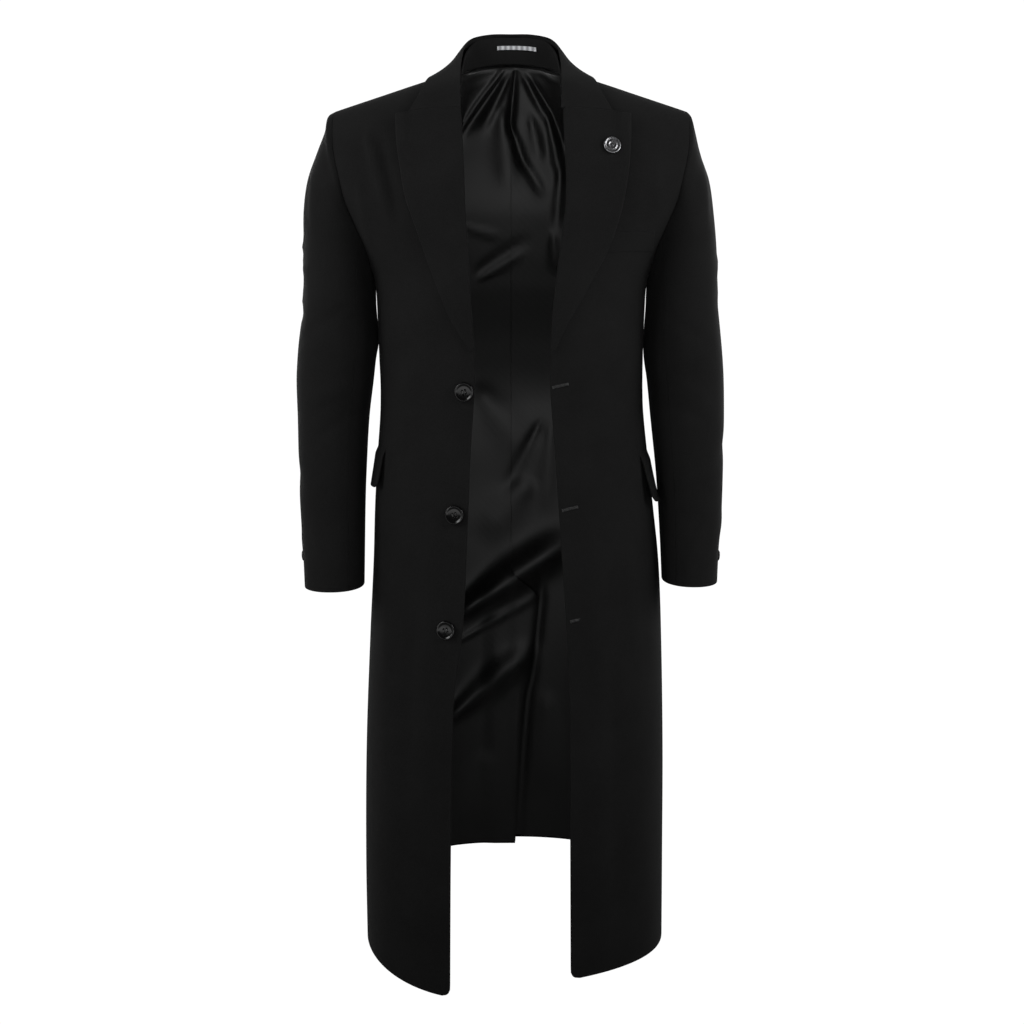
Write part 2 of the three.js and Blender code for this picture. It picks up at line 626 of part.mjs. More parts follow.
// Sets a disc with its flat back on a point, facing along a direction.
function addDisc(name, size, sides, point, direction, color, roughness, metalness) {
  const mesh = addMesh(name, discGeometry(size.radius, size.thickness, sides), color, roughness, metalness);
  mesh.position.copy(point);
  mesh.quaternion.setFromUnitVectors(new THREE.Vector3(0, 1, 0), direction);
}

function addFrontButtons() {
  FRONT_BUTTONS.forEach((button) => {
    const point = lifted("right", "front", button.x, button.z, SEAM_GAP + 0.2);
    const direction = surfaceNormal("right", "front", button.x, button.z);
    [point, direction].forEach((v) => v.setX(-v.x));
    addDisc(button.name, FRONT_BUTTON, 18, point, direction, BUTTON_BLACK, 0.2, 0);
  });
}

function addCuffButton(side) {
  const angle = (CUFF_BUTTON.angle * Math.PI) / 180;
  const step = 0.05;
  const point = sleeveRing(side, angle, CUFF_BUTTON.z);
  const along = sleeveRing(side, angle + step, CUFF_BUTTON.z).sub(sleeveRing(side, angle - step, CUFF_BUTTON.z));
  const down = sleeveRing(side, angle, CUFF_BUTTON.z - 5).sub(sleeveRing(side, angle, CUFF_BUTTON.z + 5));
  const direction = along.cross(down).normalize();
  if (direction.x < 0) direction.negate();
  point.addScaledVector(direction, SEAM_GAP + 0.2);
  if (side === "right") [point, direction].forEach((v) => v.setX(-v.x));
  addDisc(`${side}_cuff_button`, CUFF_BUTTON, 14, point, direction, BUTTON_BLACK, 0.2, 0);
}

function addPin() {
  const u = 0.72;
  const lift = lapelLift(u, 0.85) + SEAM_GAP + 0.3;
  const point = lifted("left", "front", PIN.x, PIN.z, lift);
  const direction = surfaceNormal("left", "front", PIN.x, PIN.z);
  addDisc("lapel_pin", PIN, 20, point, direction, SILVER, 0.35, 1);
}

// The side of the body at an angle from the side seam: negative toward the front, positive toward the back.
function sidePoint(side, angle, z, lift) {
  const place = (turn) => {
    const radians = (Math.abs(turn) * Math.PI) / 180;
    const share = sectionShare(Math.PI / 2 - radians);
    const depth = lookUp(BODY, "z", turn < 0 ? "front" : "back", z);
    const y = Math.sign(turn) * depth * (1 - share ** SECTION_POWER) ** (1 / SECTION_POWER);
    return new THREE.Vector3(lookUp(BODY, "z", side, z) * share, y, z);
  };
  const along = place(angle + 4).sub(place(angle - 4));
  const outward = new THREE.Vector3(along.y, -along.x, 0).normalize();
  return place(angle).addScaledVector(outward, lift);
}

function addFlap(side) {
  const { top, bottom, frontFlare, backFlare } = FLAP[side];
  const place = (share, down) => {
    const angle = mix(-FLAP.front, FLAP.back, share);
    const front = mix(frontFlare, FLAP.middleFlare, ease(0, 0.4, share));
    const flare = mix(front, backFlare, ease(0.4, 0.85, share));
    const lift = FLAP.lift + WOOL_WALL + flare * down ** FLAP.flarePower;
    return sidePoint(side, angle, mix(top, bottom, down), lift);
  };
  const grid = ontoSide(side, makeGrid(steps(4), steps(9), place));
  const normals = gridNormals(grid, side === "right" ? 1 : -1);
  addMesh(`${side}_hip_flap`, wallGeometry(grid, normals, WOOL_WALL), CLOTH, 0.95, 0);
}

function addWelt() {
  const grid = makeGrid(steps(2), steps(7), (share, down) => {
    const x = mix(WELT.from, WELT.to, share);
    const z = WELT.top + WELT.slant * share - WELT.height * down;
    return lifted("left", "front", x, z, WELT_WALL + SEAM_GAP + 0.1);
  });
  addMesh("breast_welt", wallGeometry(grid, gridNormals(grid, -1), WELT_WALL), CLOTH, 0.95, 0);
}

function foldHeight(x, z) {
  return LINING_FOLDS.reduce((sum, fold) => {
    const spanX = fold.toX - fold.fromX;
    const spanZ = fold.toZ - fold.fromZ;
    const length = Math.hypot(spanX, spanZ);
    const along = ((x - fold.fromX) * spanX + (z - fold.fromZ) * spanZ) / length ** 2;
    const aside = ((x - fold.fromX) * spanZ - (z - fold.fromZ) * spanX) / length;
    const width = fold.width * mix(0.5, 1, ease(0, 0.6, along));
    const taper = ease(-0.08, 0.15, along) * ease(1.15, 0.7, along);
    return sum + fold.height * taper * Math.exp(-((aside / width) ** 2));
  }, 0);
}

// The lining hangs inside the back: its own folds stand in from the wool.
function liningPoint(side, share, row) {
  const panel = backPoint(side, share - LINING_SIDE_INSET * share ** 6, Math.max(LINING_TOP_DROP, row));
  const sign = side === "right" ? -1 : 1;
  const hem = hemZ(side, "back", share);
  const x = side === "left" && panel.z < VENT_TOP + 12 ? leftOfVent(panel, share) : panel.x;
  const z = Math.max(panel.z, hem + LINING_HEM_RISE);
  const y = surfaceY(side, "back", x, z) - ventStep(side, x, z);
  const level = ease(0, 0.12, row);
  const inward = WOOL_WALL + LINING_CLEARANCE + foldHeight(x * sign, z) * level;
  return new THREE.Vector3(x, y, z).addScaledVector(surfaceNormal(side, "back", x, z), -inward);
}

// Past the vent's top the left lining starts clear of the under side.
function leftOfVent(panel, share) {
  const start = lookUp(VENT_EDGE, "z", "x", panel.z) + LINING_VENT_GAP;
  const side = lookUp(BODY, "z", "left", panel.z);
  return Math.max(panel.x, mix(start, side, share));
}

function addLining(side) {
  const grid = ontoSide(side, makeGrid(BODY_ROWS, LINING_COLUMNS, (share, row) => liningPoint(side, share, row)));
  const normals = gridNormals(grid, side === "right" ? -1 : 1);
  addMesh(`${side}_back_lining`, wallGeometry(grid, normals, LINING_WALL), SATIN, 0.35, 0);
}

// A short woven loop on the inside of the collar stand.
function addHangerLoop() {
  const grid = makeGrid(steps(8, LOOP.from, LOOP.to), steps(1, LOOP.low, LOOP.high), (v, w) => {
    const point = standPoint(v, w);
    const ahead = standPoint(v, w + 0.02).sub(standPoint(v, w - 0.02));
    const inward = new THREE.Vector3(ahead.y, -ahead.x, 0).normalize();
    return point.addScaledVector(inward, WOOL_WALL + LOOP.stand + LOOP.wall);
  });
  addMesh("hanger_loop", wallGeometry(grid, gridNormals(grid, -1), LOOP.wall), SILVER, 0.4, 0.2);
}

["right", "left"].forEach((side) => {
  addPanel(side, "front");
  addPanel(side, "back");
  addLapel(side);
  addSleeve(side);
  addFlap(side);
  addLining(side);
  addCuffButton(side);
});
addCollar();
addWelt();
addFrontButtons();
addPin();
addHangerLoop();

export default coat;
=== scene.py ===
"""A full-length black wool overcoat, worn open and filled out with nobody in it.

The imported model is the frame. Every cloth piece is a thin shell on the form of its solid, cut finer and with
its creases, folds, rolled edges and stitching. Lengths are in millimetres until a mesh is made, x is measured
outward from the centre line on either side, and "right" and "left" are the wearer's sides.
"""

import math

import bmesh
import bpy
import numpy as np
from bpy.props import FloatProperty, FloatVectorProperty, IntProperty, PointerProperty, StringProperty
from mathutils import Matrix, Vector


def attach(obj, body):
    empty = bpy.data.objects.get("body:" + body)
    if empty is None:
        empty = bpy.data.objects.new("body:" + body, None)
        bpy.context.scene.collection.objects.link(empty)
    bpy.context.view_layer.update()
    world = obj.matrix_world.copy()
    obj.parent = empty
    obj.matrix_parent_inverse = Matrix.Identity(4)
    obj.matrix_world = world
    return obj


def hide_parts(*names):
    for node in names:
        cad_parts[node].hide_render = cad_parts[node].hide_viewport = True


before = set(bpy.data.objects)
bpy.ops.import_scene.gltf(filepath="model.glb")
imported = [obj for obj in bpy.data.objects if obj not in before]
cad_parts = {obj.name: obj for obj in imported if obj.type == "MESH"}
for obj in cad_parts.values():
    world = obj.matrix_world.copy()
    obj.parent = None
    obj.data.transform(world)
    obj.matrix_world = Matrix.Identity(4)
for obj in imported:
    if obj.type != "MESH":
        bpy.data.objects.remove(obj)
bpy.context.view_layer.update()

bl_info = {
    "name": "Wool Overcoat",
    "version": (1, 0, 0),
    "blender": (4, 5, 0),
    "location": "View3D > Sidebar > Overcoat",
    "description": "Dresses the overcoat's frame in wool, satin, buttons and stitching",
    "category": "Object",
}

MILLIMETRE = 0.001
WELD_DISTANCE = 1e-6
SIDES = ("right", "left")
MIRROR = (-1, 1, 1)

WOOL_WALL = 2.2
LINING_WALL = 1.0
# The lining's edge is rounded over a very short way, and its faces start at these distances from the edge.
LINING_ROUND = 0.03
LINING_RIM = (0.0, LINING_ROUND, 0.1, 0.5, 1.6)
EDGE_ROUND = 0.45
CORNER_RADIUS = 12.0
SECTION_POWER = 2.3
NECK_HALF = 78.0
SHOULDER_HALF = NECK_HALF * 3
NECK_Z = -3.0
SHOULDER_TIP_Z = -49.5
ARMPIT_Z = -262.0
NECK_DEPTH = 72.0
NECK_RISE = 30.0
SLOPE_REACH = {"front": {"neck": 185, "tip": 125}, "back": {"neck": 95, "tip": 120, "middle": 150}}
VENT_TOP = -746.0
VENT_STEP = 3.4
VENT_RAMP = {"full": 20, "none": 52}


def named(columns, *rows):
    """A short table: the names of its columns, then its rows."""
    names = columns.split()
    return [dict(zip(names, row)) for row in rows]


# Half-widths to the side seams, and depths from them to the front and the back.
BODY = named(
    "z right left front back",
    (-40, 270, 270, 120, 104),
    (-128, 262, 262, 122, 112),
    (-170, 245, 245, 123, 116),
    (-205, 221, 221, 124, 117),
    (-235, 200, 200, 124, 117),
    (-262, 187, 187, 124, 116),
    (-280, 183.4, 183.4, 124, 115),
    (-300, 182.2, 182.2, 123, 113),
    (-364, 180.5, 180.5, 120, 106),
    (-437, 179.5, 181.5, 118, 101),
    (-500, 184, 188, 124, 108),
    (-573, 189, 197, 132, 120),
    (-655, 192.5, 206.5, 138, 131),
    (-755, 198.5, 212, 146, 143),
    (-918, 206.5, 217, 160, 163),
    (-1084, 210, 219, 174, 180),
    (-1225, 210, 220.5, 186, 192),
)

# Height of the shoulder seam over the distance from the centre line.
RIDGE = named(
    "x z",
    (55, 8), (NECK_HALF, NECK_Z), (104, -8.5), (129, -16), (160, -26), (193, -36.5),
    (SHOULDER_HALF, SHOULDER_TIP_Z), (270, -62),
)

# Distance from the centre line to the armhole seam.
ARMHOLE = named(
    "z x",
    (SHOULDER_TIP_Z, SHOULDER_HALF), (-73, 231), (-100, 229), (-128, 225), (-170, 216), (-205, 202),
    (-235, 191), (ARMPIT_Z, 187),
)

# Distance from the centre line to the neck seam, the lapel's roll and the front edge.
FRONT_EDGE = named(
    "z right left",
    (NECK_Z, NECK_HALF, NECK_HALF),
    (-30, 71, 73),
    (-62, 64, 67),
    (-120, 60, 69),
    (-177, 58, 70),
    (-216, 56, 65),
    (-312, 51, 54),
    (-363, 48, 52),
    (-411, 47, 51),
    (-489, 52, 57),
    (-608, 57, 65),
    (-722, 63, 73),
    (-781, 71, 76),
    (-828, 76, 78),
    (-1010, 80, 79),
    (-1225, 82, 80.5),
)

# How far the under side of the back vent reaches past the centre line.
VENT_EDGE = named("z x", (-750, 42), (-861, 31), (-915, 22), (-1023, 14), (-1165, 6))

# The arch is how much higher the front hem's middle lies than a line from the front edge to the side.
HEM = {
    "right": {"front": -1222, "side": -1206, "back": -1159, "arch": 2},
    "left": {"front": -1197, "side": -1207, "back": -1149, "arch": 5},
}

# Outer edge of the turned-back lapel.
LAPEL_EDGE = named(
    "z right left",
    (-67, 146, 152),
    (-100, 144, 151),
    (-133, 139, 148),
    (-170, 132, 142),
    (-205, 120, 133),
    (-238, 109, 121),
    (-266, 99, 106),
    (-300, 86, 88),
    (-324, 76, 74),
    (-364, 52, 56),
)
NOTCH = {"from": 0.76, "to": 0.86}
LAPEL = {"top_inner": -60.8, "top_outer": -67, "break": -362, "clearance": 3, "swell": 1.6, "stand_off": 2.5}

# The collar by its half, from centre back to the front end.
COLLAR = named(
    "fold_x fold_y fold_z edge_x edge_z face swell seam_x seam_z",
    (0, 82, 66.5, 0, 12, "back", 7, 0, None),
    (30, 80, 66, 40, 8, "back", 7, 30, None),
    (54, 68, 59, 72, -2, "back", 4, 54, None),
    (64.5, 42, 43, 93, -11, "back", 1, 70, None),
    (67, 10, 25, 104, None, "ridge", 0, NECK_HALF, None),
    (68, -24, 5, 109, -17, "front", 1, None, -20),
    (67.5, -62, -20, 117.5, -39, "front", 2, None, -40),
    (66, -96, -57, 129, -61.5, "front", 3, None, -58),
)
COLLAR_LIFT = 4.6
SEAM_LIFT = 1.2
FOLD = {"inside": 2.5, "outside": 5.5}
STAND_TOP = {"inward": 4.2, "below": 6.2}
STAND_REACH = {"low": -0.12, "end": 0.84}

# The sleeve's outer line over the cap, then its level rings.
CAP = named(
    "step right left z",
    (0, SHOULDER_HALF, SHOULDER_HALF, SHOULDER_TIP_Z),
    (1, 243, 239.5, -56),
    (2, 247, 244.5, -74),
    (3, 258.5, 252, -102),
    (4, 272, 265, -138),
    (5, 278.5, 272, -180),
    (6, 279.5, 277.5, -232),
    (7, 282, 281, -305),
)
SLEEVE_POWER = 2.2
SLEEVE = named(
    "z right_outer left_outer right_inner left_inner centre_y half_depth",
    (-305, 282, 281, 185, 185, 2, 78),
    (-353, 289.5, 287, 182.4, 182.4, 2, 78),
    (-377, 292, 289.5, 186.5, 183.6, 1.6, 77.6),
    (-405, 293.8, 291.5, 190, 188, 1, 77),
    (-457, 293, 292.8, 196.6, 193.5, -2, 74),
    (-526, 292.2, 292, 200.6, 200.8, -10, 68),
    (-572, 290.5, 290.5, 202, 204, -18, 63),
    (-632, 286.5, 286, 202.5, 207, -30, 57),
    (-685, 284, 283.5, 203, 209, -39, 53),
)
CUFF_Z = {"right": -685, "left": -678}
TOP_SLEEVE_HALF = math.radians(126)

# The flaps run round the side from front to back, in degrees from the side seam.
# They stand off at their lower corners, and least beside the sleeve.
FLAP = {
    "front": 25, "back": 40, "lift": 0.5, "middle_flare": 4, "flare_power": 1.1,
    "right": {"top": -494, "bottom": -547, "front_flare": 8, "back_flare": 22},
    "left": {"top": -500, "bottom": -566, "front_flare": 13, "back_flare": 22},
}
WELT = {"from": 116, "to": 186, "top": -213, "height": 25, "slant": 4, "wall": 1.5}

FRONT_BUTTONS = named("name x z", ("top", 60, -415), ("middle", 73, -574), ("bottom", 85, -726))
FRONT_BUTTON = {"radius": 12.5, "thickness": 4.6}
BUTTON_TURN = 0.3
CUFF_BUTTON = {"radius": 7.5, "thickness": 3.6, "z": -647, "angle": math.radians(-8)}
BUTTONHOLES = named("name x z", ("top", 64, -407), ("middle", 77, -566), ("bottom", 88, -712))
BUTTONHOLE = {"length": 20.0, "stitch": 1.9, "spacing": 0.85, "slant": math.radians(12)}
PIN = {"x": 126, "z": -108, "radius": 11, "thickness": 2.4}
LOOP = {"from": -0.1, "to": 0.19, "low": 0.49, "high": 0.66, "wall": 1.2, "stand": 1.4}

CREASE_COLUMNS = "from_x from_z to_x to_z width height"

# Soft ridges and troughs of the fronts and backs, which the hanging cloth shows.
FRONT_CREASES = {
    "right": named(
        CREASE_COLUMNS,
        (186, -84, 154, -186, 8, 5.0),
        (168, -92, 144, -204, 8, -3.4),
        (196, -150, 182, -236, 9, 2.2),
        (120, -330, 168, -420, 16, -1.4),
        (96, -560, 132, -1160, 26, 3.0),
        (164, -640, 172, -1190, 22, 2.2),
        (130, -700, 146, -1200, 16, -2.0),
    ),
    "left": named(
        CREASE_COLUMNS,
        (186, -126, 190, -205, 9, 1.5),
        (172, -236, 150, -330, 12, -1.3),
        (112, -400, 170, -452, 15, -1.2),
        (104, -590, 122, -1150, 24, 2.4),
        (158, -620, 178, -1180, 24, 3.0),
        (132, -760, 148, -1190, 15, -2.2),
    ),
}
BACK_CREASES = {
    "right": named(
        CREASE_COLUMNS,
        (150, -120, 128, -330, 18, 2.4),
        (112, -170, 96, -380, 16, -1.8),
        (24, -360, 120, -430, 14, -1.6),
        (40, -395, 140, -470, 12, 1.5),
        (64, -560, 78, -1140, 24, 3.4),
        (112, -620, 140, -1150, 22, -3.0),
        (160, -660, 178, -1170, 20, 3.0),
    ),
    "left": named(
        CREASE_COLUMNS,
        (142, -132, 122, -300, 16, 2.2),
        (98, -150, 84, -360, 18, -1.6),
        (30, -380, 108, -440, 13, -1.5),
        (70, -430, 150, -492, 13, 1.4),
        (84, -600, 104, -1150, 22, 3.2),
        (128, -580, 152, -1120, 20, -2.6),
        (52, -700, 58, -1120, 16, -1.8),
    ),
}

# Creases of the sleeves: angles in degrees from the outer line toward the front. A degree is about 1.25 mm.
DEGREE_LENGTH = 1.25
SLEEVE_CREASES = {
    "right": named(
        "from_turn from_z to_turn to_z width height",
        (-34, -204, 34, -236, 7, 2.2),
        (-12, -236, 48, -266, 6, 1.8),
        (-40, -266, 26, -304, 8, 2.0),
        (-20, -300, 36, -326, 8, -1.4),
        (20, -120, 48, -214, 8, -1.6),
        (118, -300, 40, -352, 9, -1.8),
        (150, -398, 60, -432, 9, 2.4),
        (146, -436, 70, -480, 10, -2.2),
        (-120, -410, -30, -452, 9, 2.4),
        (-130, -452, -50, -496, 9, -2.2),
        (-30, -500, 60, -560, 16, -1.8),
        (-60, -580, 20, -632, 14, 1.6),
        (60, -590, 100, -676, 12, 1.4),
    ),
    "left": named(
        "from_turn from_z to_turn to_z width height",
        (-20, -230, 40, -262, 6, 1.6),
        (-44, -262, 20, -286, 6, 1.4),
        (16, -112, 40, -198, 9, -1.5),
        (124, -316, 52, -360, 9, -1.6),
        (148, -388, 74, -426, 10, 2.2),
        (140, -430, 60, -462, 9, -2.0),
        (-116, -398, -40, -436, 9, 2.2),
        (-126, -440, -54, -490, 10, -2.4),
        (-24, -470, 66, -520, 15, -1.6),
        (-50, -560, 30, -610, 15, 1.7),
        (70, -570, 108, -660, 12, 1.5),
    ),
}

# The lining's folds, seen from inside: x runs to the wearer's left, and a height stands in from the back.
LINING_FOLDS = named(
    CREASE_COLUMNS,
    (-8, 30, -74, -58, 4, 4),
    (-12, 12, -66, -60, 8, -4.5),
    (-3, 16, -40, -56, 6, 3.5),
    (-14, -30, -2, -140, 16, 3.5),
    (7, 24, -2, -62, 5, -6),
    (-2, -46, 20, -112, 6, -5.5),
    (16, -96, 46, -146, 7, -3.5),
    (18, 18, 58, -52, 6, 4.5),
    (52, -34, 72, -126, 7, 4.5),
    (72, -108, 66, -196, 8, 3),
    (30, 10, 80, -78, 8, -5),
    (34, 28, 82, -4, 4, 4),
    (28, -40, 42, -100, 8, 2.5),
    (-70, -192, -18, -206, 5, -1.8),
    (-46, -268, 18, -226, 6, -2),
    (-52, -256, 24, -210, 9, 1.8),
    (60, -200, 66, -254, 8, -2.4),
    (-50, -420, 30, -520, 26, 2.4),
    (44, -468, -8, -574, 10, -2.4),
    (30, -560, -44, -640, 28, 3),
    (60, -470, 52, -600, 14, 2),
    (-92, -770, 96, -643, 25, 16),
    (-84, -812, 40, -738, 7, 2.4),
    (-104, -940, 28, -826, 21, 10),
    (-40, -1000, -52, -1130, 26, 2),
    (58, -900, 50, -1060, 22, 2),
)
LINING = {
    "clearance": 3.6, "nape": 3.4, "top_drop": 0.004, "side_inset": 0.07, "hem_rise": 5, "vent_overlap": 6,
}

# Lengths across and down, by which the faces of each piece are counted.
SPAN = {
    "front": 210, "back": 240, "lining": 230, "above_armpit": 250, "below_armpit": 950, "lapel": (80, 300),
    "fall": (62, 520), "stand": (38, 400), "top_sleeve": 265, "under_sleeve": 120, "cap": 290, "arm": 380,
    "flap": (160, 56), "welt": 72, "loop": (8, 56),
}

# Turn and height in degrees, distance and size in metres, and power in watts.
SOFTBOXES = named(
    "name turn height distance size power",
    ("key_softbox_right", -62, 22, 2.0, 0.9, 16.5),
    ("key_softbox_left", 62, 22, 2.0, 0.9, 16.5),
    ("side_softbox_right", -88, 4, 2.0, 0.8, 6),
    ("side_softbox_left", 88, 4, 2.0, 0.8, 7),
    ("back_softbox_right", -142, 10, 2.2, 0.9, 16),
    ("back_softbox_left", 142, 10, 2.2, 0.9, 16),
)
LIGHT_AIM = (0, 0, -0.25)

# How brightly the floor glows along its depth, from far in front of the coat to just behind it. The glow is
# painted light that lights the coat: a bright pool out in front that dims toward the coat.
FLOOR_GLOW = named(
    "y strength",
    (-7.0, 1.2), (-3.0, 1.7), (-2.0, 0.7), (-1.4, 0.3), (-0.8, 0.12), (0.2, 0.03),
)
FLOOR_REACH = 30.0
BACKDROP_WHITE = 1.05

# Where the room turns from dim to bright, as a share of the way behind the coat.
ROOM_DUSK = {"from": 0.1, "to": 0.8}


def table_curve(rows, key, column):
    """A smooth curve through one column of a table."""
    ordered = sorted(rows, key=lambda row: row[key])
    at = np.array([row[key] for row in ordered], float)
    value = np.array([row[column] for row in ordered], float)
    last = len(at) - 1
    before = np.maximum(np.arange(last + 1) - 1, 0)
    after = np.minimum(np.arange(last + 1) + 1, last)
    slope = (value[after] - value[before]) / (at[after] - at[before])

    def curve(place):
        place = np.clip(np.asarray(place, float), at[0], at[-1])
        i = np.clip(np.searchsorted(at, place, side="right") - 1, 0, last - 1)
        span = at[i + 1] - at[i]
        u = (place - at[i]) / span
        ends = value[i] * (1 + 2 * u) * (1 - u) ** 2 + value[i + 1] * (3 - 2 * u) * u**2
        return ends + span * (slope[i] * u * (1 - u) ** 2 - slope[i + 1] * (1 - u) * u**2)

    return curve


half_width = {side: table_curve(BODY, "z", side) for side in SIDES}
depth_of = {face: table_curve(BODY, "z", face) for face in ("front", "back")}
ridge_over = table_curve(RIDGE, "x", "z")
armhole_x = table_curve(ARMHOLE, "z", "x")
front_edge = {side: table_curve(FRONT_EDGE, "z", side) for side in SIDES}
lapel_edge = {side: table_curve(LAPEL_EDGE, "z", side) for side in SIDES}
vent_reach = table_curve(VENT_EDGE, "z", "x")
cap_x = {side: table_curve(CAP, "step", side) for side in SIDES}
cap_z = table_curve(CAP, "step", "z")
sleeve_outer = {side: table_curve(SLEEVE, "z", f"{side}_outer") for side in SIDES}
sleeve_inner = {side: table_curve(SLEEVE, "z", f"{side}_inner") for side in SIDES}
sleeve_centre = table_curve(SLEEVE, "z", "centre_y")
sleeve_depth = table_curve(SLEEVE, "z", "half_depth")


def mix(a, b, share):
    return a + (b - a) * share


def ease(start, end, value):
    share = np.clip((np.asarray(value, float) - start) / (end - start), 0, 1)
    return share * share * (3 - 2 * share)


def ridge_z(x):
    return ridge_over(np.abs(x))


def unit(vectors):
    return vectors / np.maximum(np.linalg.norm(vectors, axis=-1, keepdims=True), 1e-9)


def points(x, y, z):
    x, y, z = np.broadcast_arrays(x, y, z)
    return np.stack([x, y, z], axis=-1).astype(float)


def rounding(x, z, face):
    """The chest and the back fall away from the shoulder seam in a quarter of an ellipse."""
    slope = SLOPE_REACH[face]
    reach = mix(slope["neck"], slope["tip"], ease(NECK_HALF, SHOULDER_HALF, np.abs(x)))
    left = 1 - np.clip((ridge_z(x) - z) / reach, 0, 1)
    return np.sqrt(1 - left**2)


def neck_y(x):
    return NECK_DEPTH * np.sqrt(1 - np.clip(np.abs(x) / NECK_HALF, 0, 1) ** 2)


def neck_z(x):
    return NECK_Z + NECK_RISE * (neck_y(x) / NECK_DEPTH) ** 1.2


def surface_y(side, face, x, z):
    """Depth of the wool's outer face, in front or behind, at a place x and z."""
    share = np.clip(np.abs(x) / half_width[side](z), 0, 1)
    full = depth_of[face](z) * (1 - share**SECTION_POWER) ** (1 / SECTION_POWER)
    if face == "front":
        return -full * rounding(x, z, face)
    slope = SLOPE_REACH["back"]
    reach = mix(slope["middle"], slope["neck"], ease(20, NECK_HALF, np.abs(x)))
    left = 1 - np.clip((neck_z(x) - z) / reach, 0, 1)
    below_neck = mix(neck_y(x), full, np.sqrt(1 - left**2))
    return np.where(np.abs(x) >= NECK_HALF, full * rounding(x, z, face), below_neck)


def surface_normal(side, face, x, z):
    step = 2.0
    slope_x = (surface_y(side, face, x + step, z) - surface_y(side, face, x - step, z)) / (2 * step)
    slope_z = (surface_y(side, face, x, z + step) - surface_y(side, face, x, z - step)) / (2 * step)
    sign = -1 if face == "front" else 1
    return unit(points(-slope_x, 1, -slope_z) * sign)


def normal_at(side, x, z):
    """The front's normal at one place."""
    return surface_normal(side, "front", np.array(x, float), np.array(z, float))


def lifted(side, face, x, z, lift):
    """Points on the body at x and z, lifted off it."""
    x, z = np.broadcast_arrays(np.asarray(x, float), np.asarray(z, float))
    base = points(x, surface_y(side, face, x, z), z)
    return base + surface_normal(side, face, x, z) * np.asarray(lift, float)[..., None]


def section_angle(share):
    return np.sign(share) * np.arcsin(np.clip(np.abs(share), 0, 1) ** (SECTION_POWER / 2))


def section_share(angle):
    return np.sign(angle) * np.abs(np.sin(angle)) ** (2 / SECTION_POWER)


def across_x(side, share, z, inner):
    half = half_width[side](z)
    outer = np.where(z < ARMPIT_Z, half, armhole_x(z))
    return half * section_share(mix(section_angle(inner / half), section_angle(outer / half), share))


def hem_z(side, face, share):
    hem = HEM[side]
    if face == "back":
        return mix(hem["back"], hem["side"], ease(0.25, 1, share))
    return mix(hem["front"], hem["side"], ease(0, 1, share)) + hem["arch"] * np.sin(np.pi * share)


def round_corner(first, second, radius):
    """Distances from two edges, changed near their corner so that it is round."""
    a = 1 - first / radius
    b = 1 - second / radius
    near = (a > 0) & (b > 0)
    share = np.where(near, np.maximum(a, b) / np.maximum(np.hypot(a, b), 1e-9), 1)
    return np.where(near, radius * (1 - a * share), first), np.where(near, radius * (1 - b * share), second)


def front_point(side, share, row):
    """Rows run from 0 at the shoulder seam through 1 at the armpit to 2 at the hem."""
    share, row = np.broadcast_arrays(np.asarray(share, float), np.asarray(row, float))
    top_x = mix(NECK_HALF, SHOULDER_HALF, share)
    above = mix(ridge_z(top_x), ARMPIT_Z, np.minimum(row, 1))
    z = np.where(row <= 1, above, mix(ARMPIT_Z, hem_z(side, "front", share), row - 1))
    x = mix(top_x, across_x(side, share, z, front_edge[side](z)), ease(0, 0.45, row))
    edge = front_edge[side](z)
    hem = hem_z(side, "front", share)
    inward, up = round_corner(x - edge, z - hem, CORNER_RADIUS)
    x = np.where(row > 1.5, edge + inward, x)
    z = np.where(row > 1.5, hem + up, z)
    return points(x, np.minimum(0, surface_y(side, "front", x, z)), z)


def vent_edge(side, z):
    if side == "left":
        return np.zeros_like(z)
    return np.where(z > VENT_TOP, 0.0, -vent_reach(z))


def vent_step(side, x, z):
    if side == "left":
        return np.zeros_like(x)
    return VENT_STEP * ease(VENT_RAMP["none"], VENT_RAMP["full"], x) * ease(VENT_TOP + 45, VENT_TOP + 6, z)


def back_point(side, share, row):
    share, row = np.broadcast_arrays(np.asarray(share, float), np.asarray(row, float))
    top_x = SHOULDER_HALF * share
    top_z = np.where(top_x < NECK_HALF, neck_z(top_x), ridge_z(top_x))
    above = mix(top_z, ARMPIT_Z, np.minimum(row, 1))
    z = np.where(row <= 1, above, mix(ARMPIT_Z, hem_z(side, "back", share), row - 1))
    centre_z = mix(ARMPIT_Z, hem_z(side, "back", 0.0), np.maximum(row, 1) - 1)
    x = mix(top_x, across_x(side, share, z, vent_edge(side, centre_z)), ease(0, 0.45, row))
    y = surface_y(side, "back", x, z) - vent_step(side, x, z)
    return points(x, np.maximum(0, y), z)


def fold_height(table, x, z):
    """Ridges (or, where the height is negative, troughs) along lines from one place to another."""
    total = np.zeros(np.broadcast(x, z).shape)
    for fold in table:
        span_x = fold["to_x"] - fold["from_x"]
        span_z = fold["to_z"] - fold["from_z"]
        length = math.hypot(span_x, span_z)
        along = ((x - fold["from_x"]) * span_x + (z - fold["from_z"]) * span_z) / length**2
        aside = ((x - fold["from_x"]) * span_z - (z - fold["from_z"]) * span_x) / length
        width = fold["width"] * mix(0.5, 1, ease(0, 0.6, along))
        taper = ease(-0.08, 0.15, along) * ease(1.15, 0.7, along)
        total = total + fold["height"] * taper * np.exp(-((aside / width) ** 2))
    return total


def creased(grid, facing, height):
    """A grid moved out by a height along its normals."""
    return grid + grid_normals(grid) * facing * height[..., None]


def grid_normals(grid):
    down = np.gradient(grid, axis=0)
    along = np.gradient(grid, axis=1)
    return unit(np.cross(along, down))


